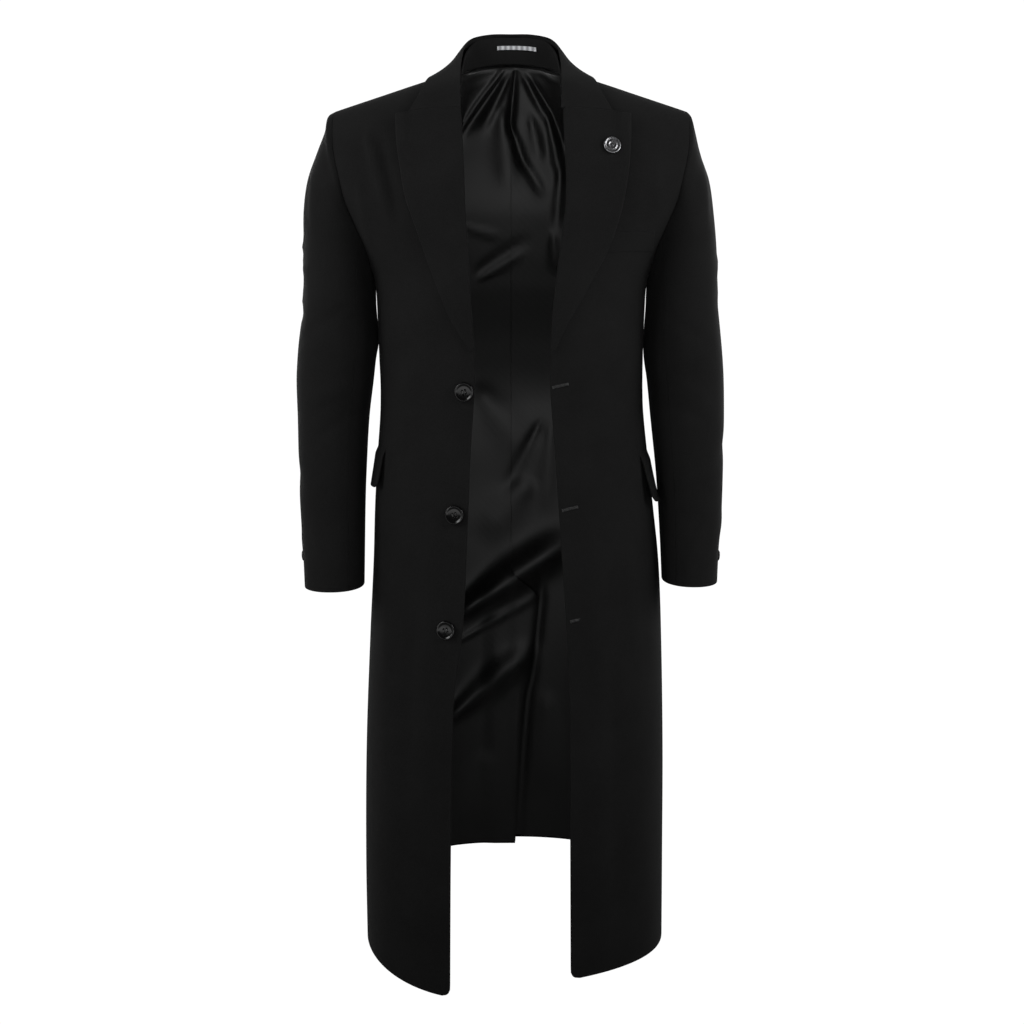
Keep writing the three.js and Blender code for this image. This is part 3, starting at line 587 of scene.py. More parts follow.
def edged(length, cell, rim=(0.0, 0.2, 0.6, 1.6)):
    """Shares along a length with extra ones close to both ends, where the cloth's edge is rounded."""
    inner = np.linspace(3.5, length - 3.5, max(2, int(length / cell)))
    ends = np.array(rim)
    return np.concatenate([ends, inner, length - ends[::-1]]) / length


def calm_edge(grid, reach=14):
    """Lets creases fade toward the seams, where the next piece starts."""
    return ease(0, reach, rim_distance(grid))


def rim_distance(grid):
    """How far each point of a grid is from the grid's edge."""
    across = np.linalg.norm(np.diff(grid, axis=1), axis=-1)
    down = np.linalg.norm(np.diff(grid, axis=0), axis=-1)
    from_first = np.pad(np.cumsum(across, axis=1), ((0, 0), (1, 0)))
    from_top = np.pad(np.cumsum(down, axis=0), ((1, 0), (0, 0)))
    to_last = from_first[:, -1:] - from_first
    to_bottom = from_top[-1:, :] - from_top
    return np.minimum.reduce([from_first, to_last, from_top, to_bottom])


def mesh_object(name, vertices, faces, material):
    """A smooth mesh in metres, riding on the coat."""
    mesh = bpy.data.meshes.new(name)
    mesh.from_pydata((np.asarray(vertices) * MILLIMETRE).tolist(), [], faces)
    mesh.update()
    tidy = bmesh.new()
    tidy.from_mesh(mesh)
    bmesh.ops.remove_doubles(tidy, verts=tidy.verts, dist=WELD_DISTANCE)
    bmesh.ops.recalc_face_normals(tidy, faces=tidy.faces)
    tidy.to_mesh(mesh)
    tidy.free()
    mesh.polygons.foreach_set("use_smooth", [True] * len(mesh.polygons))
    mesh.materials.append(material)
    piece = bpy.data.objects.new(name, mesh)
    bpy.context.scene.collection.objects.link(piece)
    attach(piece, "root")
    return piece


def shell_parts(outer, thickness, facing, edge_round):
    """Vertices and faces of a cloth wall under an outer grid. It thins to a round edge at its rim."""
    rows, columns = outer.shape[:2]
    normals = grid_normals(outer) * facing
    radius = thickness / 2
    near = np.clip(rim_distance(outer) / edge_round, 0, 1)
    half = radius * np.sqrt(1 - (1 - near) ** 2)
    middle = outer - normals * radius
    top = (middle + normals * half[..., None]).reshape(-1, 3)
    bottom = (middle - normals * half[..., None]).reshape(-1, 3)
    upper = np.arange(rows * columns).reshape(rows, columns)
    lower = upper.copy()
    inner_count = (rows - 2) * (columns - 2)
    lower[1:-1, 1:-1] = rows * columns + np.arange(inner_count).reshape(rows - 2, columns - 2)
    vertices = np.concatenate([top, bottom.reshape(rows, columns, 3)[1:-1, 1:-1].reshape(-1, 3)])

    def quads(index, turn):
        corners = [index[:-1, :-1], index[1:, :-1], index[1:, 1:], index[:-1, 1:]]
        ordered = corners if turn else corners[::-1]
        return np.stack([corner.ravel() for corner in ordered], axis=-1)

    return vertices, np.concatenate([quads(upper, facing > 0), quads(lower, facing < 0)])


def shell(name, outer, thickness, facing, material, edge_round=EDGE_ROUND):
    """A cloth wall under an outer grid, as a mesh."""
    vertices, faces = shell_parts(outer, thickness, facing, edge_round)
    return mesh_object(name, vertices, faces.tolist(), material)


def onto_side(side, grid):
    """Mirrors a grid for the right side."""
    placed = grid.copy()
    if side == "right":
        placed[..., 0] *= -1
    return placed


def facing_of(side, turn):
    """Which way a grid's normals point, once it is on its side."""
    return turn if side == "left" else -turn


def linear(value):
    """An sRGB hex colour, as linear red, green, blue and alpha."""
    channels = [int(value[i:i + 2], 16) / 255 for i in (1, 3, 5)]
    return [c / 12.92 if c <= 0.04045 else ((c + 0.055) / 1.055) ** 2.4 for c in channels] + [1.0]


def add_node(tree, kind, settings=None, links=None):
    """Adds a node, sets its properties or its inputs by name, and links its inputs."""
    node = tree.nodes.new(kind)
    for name, value in (settings or {}).items():
        if name in node.bl_rna.properties:
            setattr(node, name, value)
        else:
            node.inputs[name].default_value = value
    for name, socket in (links or {}).items():
        tree.links.new(socket, node.inputs[name])
    return node


def new_material(name):
    """An empty material with its surface shader and output."""
    material = bpy.data.materials.new(name)
    material.use_nodes = True
    tree = material.node_tree
    tree.nodes.clear()
    shader = add_node(tree, "ShaderNodeBsdfPrincipled")
    add_node(tree, "ShaderNodeOutputMaterial", links={"Surface": shader.outputs["BSDF"]})
    place = add_node(tree, "ShaderNodeTexCoord").outputs["Object"]
    return material, tree, shader, place


def noise(tree, place, size, **settings):
    """Cloudy noise, in grains of a size in metres."""
    settings = {"Scale": 1 / size, **settings}
    return add_node(tree, "ShaderNodeTexNoise", settings, {"Vector": place}).outputs["Fac"]


def bands(tree, place, size, direction="DIAGONAL", **settings):
    """Threads or ribs side by side, a size in metres apart."""
    settings = {"wave_type": "BANDS", "bands_direction": direction, "Scale": 1 / size / 20, **settings}
    return add_node(tree, "ShaderNodeTexWave", settings, {"Vector": place}).outputs["Fac"]


def ramp(tree, share, dark, light, start=0.0, end=1.0):
    """Runs from a dark tone to a light one."""
    tint = add_node(tree, "ShaderNodeValToRGB", links={"Fac": share})
    for element, tone, position in zip(tint.color_ramp.elements, (dark, light), (start, end)):
        element.position = position
        element.color = linear(tone)
    return tint.outputs["Color"]


def set_finish(tree, shader, colour, relief=None, strength=0.0, distance=0.0, **sockets):
    """Connects the colour and the relief, and sets the shader's other sockets."""
    tree.links.new(colour, shader.inputs["Base Color"])
    if relief:
        size = {"Strength": strength, "Distance": distance}
        bump = add_node(tree, "ShaderNodeBump", size, {"Height": relief})
        tree.links.new(bump.outputs["Normal"], shader.inputs["Normal"])
    for name, value in sockets.items():
        shader.inputs[name.replace("_", " ").title().replace("Ior", "IOR")].default_value = value


def melton_wool():
    """Milled and brushed overcoat wool: a matt black felted face whose short nap catches light edge-on."""
    settings = bpy.context.scene.overcoat
    material, tree, shader, place = new_material("black_melton_wool")
    # Fibre clumps of 0.5 mm would be too fine to show, so the nap is drawn at 1.4 mm.
    nap = noise(tree, place, 0.0014, Detail=3.0, Roughness=0.7)
    cloud = noise(tree, place, 0.06, Detail=4.0)
    shade = add_node(tree, "ShaderNodeMix", {"data_type": "FLOAT", "Factor": 0.35}, {"A": nap, "B": cloud})
    colour = ramp(tree, shade.outputs["Result"], settings.wool_dark, settings.wool_light, 0.32, 0.68)
    set_finish(tree, shader, colour, nap, 0.35, 0.0006, roughness=0.95, ior=1.5, specular_ior_level=0.06,
               sheen_weight=settings.wool_sheen, sheen_roughness=0.45, sheen_tint=linear("#d0d0d0"))
    return material


def satin_lining():
    """Woven viscose satin: smooth black cloth whose long floats give it a soft, broad gloss."""
    material, tree, shader, place = new_material("black_satin_lining")
    # Satin threads lie 0.1 mm apart; they are drawn at 0.9 mm, which is as fine as the picture can hold.
    thread = bands(tree, place, 0.0009, Distortion=0.6)
    colour = ramp(tree, noise(tree, place, 0.05, Detail=3.0), "#161616", "#1c1c1c")
    set_finish(tree, shader, colour, thread, 0.12, 0.0002, roughness=0.42, ior=1.5, specular_ior_level=0.5,
               sheen_weight=0.02, sheen_roughness=0.3)
    return material


def polished_polyester():
    """Cast and tumbled polyester buttons: deep black with a clear polish."""
    material, tree, shader, place = new_material("polished_black_polyester")
    colour = ramp(tree, noise(tree, place, 0.004, Detail=3.0, Distortion=1.2), "#060606", "#0c0c0c")
    set_finish(tree, shader, colour, roughness=0.16, ior=1.5, specular_ior_level=0.35)
    return material


def mercerised_thread():
    """Twisted and mercerised cotton thread: dark grey with the silky glint of its ply."""
    material, tree, shader, place = new_material("mercerised_cotton_thread")
    ply = bands(tree, place, 0.0007)
    colour = ramp(tree, ply, "#1e1e1e", "#3c3c3c")
    set_finish(tree, shader, colour, ply, 0.3, 0.0002, roughness=0.38, ior=1.5, specular_ior_level=0.6)
    return material


def antique_silver():
    """Die-struck white metal, plated and antiqued: bright where it is rubbed, dull in its hollows."""
    material, tree, shader, place = new_material("antiqued_silver_plate")
    colour = ramp(tree, noise(tree, place, 0.0016, Detail=4.0), "#565658", "#a4a4a6", 0.35, 0.62)
    set_finish(tree, shader, colour, roughness=0.34, metallic=1.0)
    return material


def woven_tape():
    """Narrow woven tape of bright viscose: pale grey, ribbed across, with a silky shine."""
    material, tree, shader, place = new_material("silvery_woven_tape")
    rib = bands(tree, place, 0.0012, "X")
    colour = ramp(tree, rib, "#8d8e92", "#d8d9dc")
    set_finish(tree, shader, colour, rib, 0.5, 0.0003, roughness=0.4, specular_ior_level=0.6, sheen_weight=0.3)
    return material


MAKERS = {
    "wool": melton_wool,
    "satin": satin_lining,
    "button": polished_polyester,
    "thread": mercerised_thread,
    "silver": antique_silver,
    "tape": woven_tape,
}
finishes = {}


def finish_of(name):
    if name not in finishes:
        finishes[name] = MAKERS[name]()
    return finishes[name]


def declare(node):
    """Hides the imported part that a cloth piece takes the place of."""
    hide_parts(node)


def add_wool(node, grid, facing, wall=WOOL_WALL):
    """A piece of wool on a grid, in place of its node."""
    piece = shell(f"{node}_wool", grid, wall, facing, finish_of("wool"))
    declare(node)


class OVERCOAT_PG_settings(bpy.types.PropertyGroup):
    """Sizes and colours that a user would change."""

    cell: FloatProperty(
        name="Cloth cell", description="Size of one face of the cloth",
        default=0.006, min=0.003, max=0.02, unit="LENGTH",
    )
    wool_dark: StringProperty(name="Wool, dark", description="Darkest tone of the wool", default="#161616")
    wool_light: StringProperty(name="Wool, light", description="Lightest tone of the wool", default="#1e1e1e")
    wool_sheen: FloatProperty(
        name="Nap", description="How much the nap catches light edge-on",
        default=0.05, min=0.0, max=1.0, subtype="FACTOR",
    )
    floor_drop: FloatProperty(
        name="Floor", description="Height of the floor below the neck seam", default=-1.45, unit="LENGTH",
    )
    camera_at: FloatVectorProperty(
        name="Camera", description="Where the camera stands",
        default=(0.0014, -1.761, -0.311), subtype="TRANSLATION", unit="LENGTH",
    )
    camera_tilt: FloatProperty(
        name="Tilt", description="How far the camera looks down", default=math.radians(9), subtype="ANGLE",
    )
    camera_lens: FloatProperty(name="Lens", description="Focal length on a 36 mm sensor", default=44.72)
    floor_light: FloatProperty(
        name="Floor light", description="Light from the floor in front of the coat", default=1.0, min=0.0,
    )
    room_front: FloatProperty(
        name="Room light, front", description="Light from the camera's side", default=0.06, min=0.0,
    )
    room_back: FloatProperty(
        name="Room light, back", description="Light from the backdrop", default=0.5, min=0.0,
    )
    button_sides: IntProperty(
        name="Button sides", description="Faces round a button", default=64, min=16, max=128,
    )


def cell_size():
    """The size of one face of the cloth in millimetres."""
    return bpy.context.scene.overcoat.cell / MILLIMETRE


def body_rows(cell):
    """Rows from the shoulder to the hem, with extra ones where the wall is rounded at the shoulder seam."""
    above = np.linspace(0, 1, int(SPAN["above_armpit"] / cell)) ** 1.6
    above = np.insert(above, 1, [0.0012, 0.003])
    below = 1 + edged(SPAN["below_armpit"], cell)
    return np.unique(np.round(np.concatenate([above, below[below > 1.002]]), 6))


def add_panels(face, point, creases, outward):
    """A front or a back on each side."""
    cell = cell_size()
    for side in SIDES:
        share, row = np.meshgrid(edged(SPAN[face], cell), body_rows(cell))
        placed = point(side, share, row)
        height = fold_height(creases[side], placed[..., 0], placed[..., 2]) * calm_edge(placed)
        grid = onto_side(side, creased(placed, outward, height))
        add_wool(f"{side}_{face}", grid, facing_of(side, outward))


class OVERCOAT_OT_fronts(bpy.types.Operator):
    """Both fronts, from the shoulder seam to the hem."""

    bl_idname = "overcoat.fronts"
    bl_label = "Fronts"

    def execute(self, context):
        add_panels("front", front_point, FRONT_CREASES, -1)
        return {"FINISHED"}


class OVERCOAT_OT_backs(bpy.types.Operator):
    """Both backs, with the centre seam and the vent."""

    bl_idname = "overcoat.backs"
    bl_label = "Backs"

    def execute(self, context):
        add_panels("back", back_point, BACK_CREASES, 1)
        return {"FINISHED"}


def lapel_place(side, u, v):
    inner_z = mix(LAPEL["break"], LAPEL["top_inner"], v)
    outer_z = mix(LAPEL["break"], LAPEL["top_outer"], v)
    inner_x = front_edge[side](inner_z) - 1.2
    outer_x = lapel_edge[side](outer_z)
    return mix(inner_x, outer_x, u), mix(inner_z, outer_z, u)


def lapel_lift(u, v):
    clearance = mix(0.5, LAPEL["clearance"], ease(0, 0.25, v))
    swell = LAPEL["swell"] * np.sin(np.pi * (1 - u) ** 0.7) * ease(0, 0.3, v)
    return WOOL_WALL + clearance + swell + LAPEL["stand_off"] * ease(0.55, 1, u) * ease(0.3, 0.75, v)


def lapel_face(side, u, v):
    """The lapel's outer face. Where u is negative it rolls over the front edge to the front's own face."""
    x, z = lapel_place(side, np.maximum(u, 0), v)
    top = lapel_lift(np.maximum(u, 0), v)
    radius = lapel_lift(0 * u, v) / 2
    turn = np.pi * np.clip(-u, 0, 1)
    x = x + radius * ((1 - np.clip(u, 0, 1)) - np.sin(turn))
    lift = np.where(u < 0, radius * (1 + np.cos(turn)), top)
    return lifted(side, "front", x, z, lift)


def lapel_point(side, u, v):
    """Its top edge is sewn to the collar's end along the gorge, as far as the notch."""
    face = lapel_face(side, u, v)
    top = lapel_face(side, np.maximum(u, 0), np.ones_like(v))
    share = np.linspace(0, 1, 200)
    end = fall_point(share, np.ones_like(share))[30:]
    gorge = np.stack([np.interp(top[..., 0], end[:, 0], end[:, k]) for k in range(3)], axis=-1)
    gorge[..., 0] = top[..., 0]
    gorge[..., 2] -= 0.25
    sewn = ease(0.82, 1, v) * (1 - ease(NOTCH["from"], NOTCH["to"], u))
    return face + (gorge - top) * sewn[..., None]


class OVERCOAT_OT_lapels(bpy.types.Operator):
    """Both peak lapels, rolled over the front edges."""

    bl_idname = "overcoat.lapels"
    bl_label = "Lapels"

    def execute(self, context):
        cell = cell_size() * 0.6
        across, down = SPAN["lapel"]
        roll = np.linspace(-1, 0, 9)[:-1]
        u, v = np.meshgrid(np.concatenate([roll, edged(across, cell, (0.0, 1.2))]), edged(down, cell))
        for side in SIDES:
            grid = onto_side(side, lapel_point(side, u, v))
            add_wool(f"{side}_lapel", grid, facing_of(side, 1))
        return {"FINISHED"}


def whole_line(half):
    """A line round the neck, from its half on one side."""
    return np.array([(-x, y, z) for x, y, z in half[:0:-1]] + list(half), float)


def collar_lines():
    """The collar's fold, outer edge and neck seam, from the right front end round to the left one."""
    fold = [(row["fold_x"], row["fold_y"], row["fold_z"]) for row in COLLAR]
    edge = []
    for row in COLLAR:
        if row["face"] == "ridge":
            edge.append((row["edge_x"], 0, float(ridge_z(row["edge_x"])) + COLLAR_LIFT))
        else:
            edge.append(tuple(lifted("right", row["face"], row["edge_x"], row["edge_z"], COLLAR_LIFT)))
    seam = []
    for row in COLLAR:
        x, z = row["seam_x"], row["seam_z"]
        if z is None:
            seam.append((x * 0.99, float(neck_y(x)) - 0.4, float(neck_z(x)) + SEAM_LIFT))
        else:
            seam.append(tuple(lifted("right", "front", front_edge["right"](z) - 0.8, z, SEAM_LIFT)))
    return [whole_line(line) for line in (fold, edge, seam)]


def along_line(line, w):
    """A smooth curve through a line's points. It runs from -1 to 1."""
    count = len(line)
    place = (np.asarray(w, float) + 1) / 2 * (count - 1)
    i = np.clip(place.astype(int), 0, count - 2)
    u = (place - i)[..., None]
    padded = np.concatenate([[2 * line[0] - line[1]], line, [2 * line[-1] - line[-2]]])
    p0, p1, p2, p3 = (padded[i + k] for k in range(4))
    t1 = (p2 - p0) / 2
    t2 = (p3 - p1) / 2
    ends = (2 * u**3 - 3 * u**2 + 1) * p1 + (u**3 - 2 * u**2 + u) * t1
    return ends + (3 * u**2 - 2 * u**3) * p2 + (u**3 - u**2) * t2


FOLD_LINE, EDGE_LINE, SEAM_LINE = collar_lines()
collar_swell = table_curve([dict(row, step=step) for step, row in enumerate(COLLAR)], "step", "swell")


def fold_outward(w):
    aside = along_line(EDGE_LINE, w) - along_line(FOLD_LINE, w)
    aside[..., 2] = 0
    return unit(aside)


def fall_point(v, w):
    """The fall's outer face, from inside the fold over its top and down to the outer edge."""
    fold = along_line(FOLD_LINE, w)
    edge = along_line(EDGE_LINE, w)
    outward = fold_outward(w)
    start = fold - outward * FOLD["inside"]
    top = fold + outward * FOLD["outside"]
    level = np.stack([-outward[..., 1], outward[..., 0], np.zeros(w.shape)], axis=-1)
    away = unit(np.cross(level, edge - start))
    away = away * np.where(away[..., 2:] < 0, -1, 1)
    swell = collar_swell(np.abs(w) * (len(COLLAR) - 1))
    middle = mix(start, edge, 0.5) + away * swell[..., None]
    v = v[..., None]
    return (1 - v) ** 3 * start + 3 * (1 - v) ** 2 * v * top + 3 * (1 - v) * v**2 * middle + v**3 * edge


def stand_point(v, w):
    """The stand's outer face, from the neck seam to just under the fold."""
    top = along_line(FOLD_LINE, w) - fold_outward(w) * STAND_TOP["inward"]
    top[..., 2] -= STAND_TOP["below"]
    return mix(along_line(SEAM_LINE, w), top, v[..., None])


class OVERCOAT_OT_collar(bpy.types.Operator):
    """The collar: its fall over the shoulders and its stand round the neck."""

    bl_idname = "overcoat.collar"
    bl_label = "Collar"

    def execute(self, context):
        cell = cell_size() * 0.6
        across, along = SPAN["fall"]
        v, w = np.meshgrid(edged(across, cell), edged(along, cell) * 2 - 1)
        add_wool("collar_fall", fall_point(v, w), -1)
        # The stand starts just below the neck seam and stops short of the collar's ends.
        across, along = SPAN["stand"]
        v = mix(STAND_REACH["low"], 1, edged(across, cell))
        v, w = np.meshgrid(v, (edged(along, cell) * 2 - 1) * STAND_REACH["end"])
        add_wool("collar_stand", stand_point(v, w), 1)
        return {"FINISHED"}


def sleeve_ring(side, angle, z):
    inner = sleeve_inner[side](z)
    outer = sleeve_outer[side](z)
    across = np.sign(np.cos(angle)) * np.abs(np.cos(angle)) ** (2 / SLEEVE_POWER)
    ahead = np.sign(np.sin(angle)) * np.abs(np.sin(angle)) ** (2 / SLEEVE_POWER)
    x = (inner + outer) / 2 + across * (outer - inner) / 2
    return points(x, sleeve_centre(z) - ahead * sleeve_depth(z), z)


def armhole_point(side, angle):
    row = (1 - np.cos(angle)) / 2
    ahead = np.sin(angle)
    point = np.where((ahead >= 0)[..., None], front_point(side, 1.0, row), back_point(side, 1.0, row))
    point[..., 1] *= ease(0, 0.02, np.abs(ahead))
    return point


def sleeve_point(side, angle, row):
    """Rows run from 0 at the armhole through 1 at the first level ring to 2 at the cuff."""
    step = np.clip(row, 0, 1) * (len(CAP) - 1)
    first, last = CAP[0], CAP[-1]
    share_x = (cap_x[side](step) - first[side]) / (last[side] - first[side])
    share_z = (cap_z(step) - first["z"]) / (last["z"] - first["z"])
    start = armhole_point(side, angle)
    top_ring = sleeve_ring(side, angle, np.full_like(row, SLEEVE[0]["z"]))
    shares = np.stack([share_x, share_x, share_z], axis=-1)
    cap = mix(start, top_ring, shares)
    level = sleeve_ring(side, angle, mix(SLEEVE[0]["z"], CUFF_Z[side], np.clip(row - 1, 0, 1)))
    return np.where((row <= 1)[..., None], cap, level)


def sleeve_creases(side, turn, z):
    """Height of the creases on the sleeve laid flat."""
    flat = [
        dict(row, from_x=row["from_turn"] * DEGREE_LENGTH, to_x=row["to_turn"] * DEGREE_LENGTH)
        for row in SLEEVE_CREASES[side]
    ]
    return fold_height(flat, turn * DEGREE_LENGTH, z)


class OVERCOAT_OT_sleeves(bpy.types.Operator):
    """Both two-piece sleeves."""

    bl_idname = "overcoat.sleeves"
    bl_label = "Sleeves"

    def execute(self, context):
        cell = cell_size()
        rows = np.concatenate([edged(SPAN["cap"], cell)[:-4], 1 + edged(SPAN["arm"], cell)[3:]])
        seams = (-TOP_SLEEVE_HALF, TOP_SLEEVE_HALF, 2 * math.pi - TOP_SLEEVE_HALF)
        for side in SIDES:
            for part, start, end in (("top_sleeve", *seams[:2]), ("under_sleeve", *seams[1:])):
                angle, row = np.meshgrid(mix(start, end, edged(SPAN[part], cell)), rows)
                placed = sleeve_point(side, angle, row)
                turn = np.degrees(np.where(angle > math.pi, angle - 2 * math.pi, angle))
                height = sleeve_creases(side, turn, placed[..., 2]) * calm_edge(placed, 8)
                grid = onto_side(side, creased(placed, 1, height))
                add_wool(f"{side}_{part}", grid, facing_of(side, 1))
        return {"FINISHED"}


def side_place(side, turn, z):
    """The side of the body at an angle from its seam: negative toward the front, positive toward the back."""
    share = section_share(np.pi / 2 - np.abs(turn))
    depth = np.where(turn < 0, depth_of["front"](z), depth_of["back"](z))
    y = np.sign(turn) * depth * (1 - share**SECTION_POWER) ** (1 / SECTION_POWER)
    return points(half_width[side](z) * share, y, z)


def side_point(side, turn, z, lift):
    step = math.radians(4)
    along = side_place(side, turn + step, z) - side_place(side, turn - step, z)
    outward = unit(np.stack([along[..., 1], -along[..., 0], np.zeros(along.shape[:-1])], axis=-1))
    return side_place(side, turn, z) + outward * np.asarray(lift)[..., None]


class OVERCOAT_OT_pockets(bpy.types.Operator):
    """The hip flaps and the breast welt."""

    bl_idname = "overcoat.pockets"
    bl_label = "Pockets"

    def execute(self, context):
        cell = cell_size() * 0.5
        width, depth = SPAN["flap"]
        for side in SIDES:
            share, down = np.meshgrid(edged(width, cell), edged(depth, cell))
            flap = FLAP[side]
            front = mix(flap["front_flare"], FLAP["middle_flare"], ease(0, 0.4, share))
            flare = mix(front, flap["back_flare"], ease(0.4, 0.85, share))
            height = flap["top"] - flap["bottom"]
            for end in (0, 1):
                along, up = round_corner(np.abs(end - share) * width, (1 - down) * height, CORNER_RADIUS)
                share = np.abs(end - along / width)
                down = 1 - up / height
            turn = mix(-math.radians(FLAP["front"]), math.radians(FLAP["back"]), share)
            # The top edge goes in under the pocket's jet, so it lies level with the coat.
            raised = mix(0.1, FLAP["lift"] + WOOL_WALL, ease(0, 0.22, down))
            lift = raised + flare * down**FLAP["flare_power"]
            z = mix(flap["top"], flap["bottom"], down)
            grid = onto_side(side, side_point(side, turn, z, lift))
            add_wool(f"{side}_hip_flap", grid, facing_of(side, -1))
        share, down = np.meshgrid(edged(SPAN["welt"], cell), edged(WELT["height"], cell))
        x = mix(WELT["from"], WELT["to"], share)
        z = WELT["top"] + WELT["slant"] * share - WELT["height"] * down
        grid = lifted("left", "front", x, z, WELT["wall"] * 0.7 + 0 * x)
        add_wool("breast_welt", grid, -1, WELT["wall"])
        return {"FINISHED"}


def lining_point(side, share, row):
    """The lining hangs inside the back, and its folds stand in from the wool."""
    share = share - LINING["side_inset"] * share**6
    last = 2 - LINING["hem_rise"] / (ARMPIT_Z - hem_z(side, "back", share))
    row = mix(LINING["top_drop"], last, row / 2)
    panel = back_point(side, share, row)
    z = panel[..., 2]
    opened = ease(VENT_TOP + 60, VENT_TOP, z)
    edge = -vent_reach(z) if side == "right" else vent_reach(z) - LINING["vent_overlap"]
    x = np.where(row < 1, panel[..., 0], across_x(side, share, z, edge * opened))
    sign = -1 if side == "right" else 1
    y = surface_y(side, "back", x, z) - vent_step(side, x, z)
    beside_vent = np.exp(-(((x * sign - vent_reach(z) - 4) / 8) ** 2)) * opened
    over = ease(0, -6, x) if side == "right" else 0 * x
    folds = fold_height(LINING_FOLDS, x * sign, z) * ease(0, 0.03, row)
    clearance = LINING["clearance"] + LINING["nape"] * ease(-180, -90, z) * ease(0, 0.07, row)
    # A trough reaches toward the wool, but not through it.
    room = clearance - 0.4
    folds = np.where(folds < 0, room * np.tanh(folds / room), folds)
    gap = np.maximum(clearance * ease(0, 0.02, row) + folds + 1.2 * over - 3.2 * beside_vent, 0.3)
    return points(x, y, z) - surface_normal(side, "back", x, z) * (WOOL_WALL + gap)[..., None]


class OVERCOAT_OT_lining(bpy.types.Operator):
    """The satin lining of the back."""

    bl_idname = "overcoat.lining"
    bl_label = "Lining"

    def execute(self, context):
        cell = cell_size()
        for side in SIDES:
            across = edged(SPAN["lining"], cell * 0.5, LINING_RIM)
            share, row = np.meshgrid(across, body_rows(cell * 0.6))
            grid = onto_side(side, lining_point(side, share, row))
            facing, satin = facing_of(side, 1), finish_of("satin")
            piece = shell(f"{side}_lining_satin", grid, LINING_WALL, facing, satin, LINING_ROUND)
            declare(f"{side}_back_lining")
        return {"FINISHED"}


def turned(profile, sides):
    """A round piece turned about the z axis from a profile that starts and ends on it."""
    vertices = [(0, 0, profile[0][1]), (0, 0, profile[-1][1])]
    faces = []
    rings = profile[1:-1]
    for radius, height in rings:
        for k in range(sides):
            angle = 2 * math.pi * k / sides
            vertices.append((radius * math.cos(angle), radius * math.sin(angle), height))
    for k in range(sides):
        after = (k + 1) % sides
        faces.append((0, 2 + after, 2 + k))
        for ring in range(len(rings) - 1):
            low = 2 + ring * sides
            high = low + sides
            faces.append((low + k, low + after, high + after, high + k))
        last = 2 + (len(rings) - 1) * sides
        faces.append((1, last + k, last + after))
    return np.array(vertices, float), faces


def set_on(vertices, point, direction, turn=0.0):
    """Turns a piece's z axis to a direction and moves it to a point."""
    forward = Vector(direction).normalized()
    rotation = forward.to_track_quat("Z", "Y").to_matrix()
    spun = np.array(vertices)
    cos, sin = math.cos(turn), math.sin(turn)
    spun = spun @ np.array([[cos, sin, 0], [-sin, cos, 0], [0, 0, 1]])
    return spun @ np.array(rotation.transposed()) + np.asarray(point, float)


def button_profile(radius, thickness):
    """A flat base, a rounded rim and a dished middle, from the axis out and back to it."""
    rim = [
        (0, 0), (0.8, 0), (0.93, 0.12), (1, 0.38), (1, 0.66), (0.985, 0.84), (0.95, 0.96), (0.9, 1),
        (0.84, 0.97), (0.78, 0.86), (0.7, 0.72),
    ]
    dish = [(share, 0.58 + 0.1 * (share / 0.6) ** 2) for share in np.linspace(0.6, 0.02, 26)]
    return [(radius * out, thickness * up) for out, up in [*rim, *dish, (0, 0.58)]]


def strand(path, up, radius, sides=6):
    """Vertices and faces of a thread along a path, with flat ends. Up is roughly square to the path."""
    path = np.asarray(path, float)
    ahead = unit(np.gradient(path, axis=0))
    aside = unit(np.cross(ahead, np.asarray(up, float)))
    above = np.cross(aside, ahead)
    angle = np.linspace(0, 2 * np.pi, sides, endpoint=False)[:, None]
    ring = np.cos(angle)[None] * aside[:, None] + np.sin(angle)[None] * above[:, None]
    vertices = (path[:, None] + radius * ring).reshape(-1, 3)
    faces = [tuple(range(sides))[::-1], tuple(range(len(vertices) - sides, len(vertices)))]
    for i in range(len(path) - 1):
        for k in range(sides):
            after = (k + 1) % sides
            faces.append((i * sides + k, i * sides + after, (i + 1) * sides + after, (i + 1) * sides + k))
    return vertices, faces


def joined(parts):
    """Several sets of vertices and faces as one."""
    vertices, faces, count = [], [], 0
    for more, shapes in parts:
        vertices.append(more)
        faces += [tuple(int(i) + count for i in face) for face in shapes]
        count += len(more)
    return np.concatenate(vertices), faces


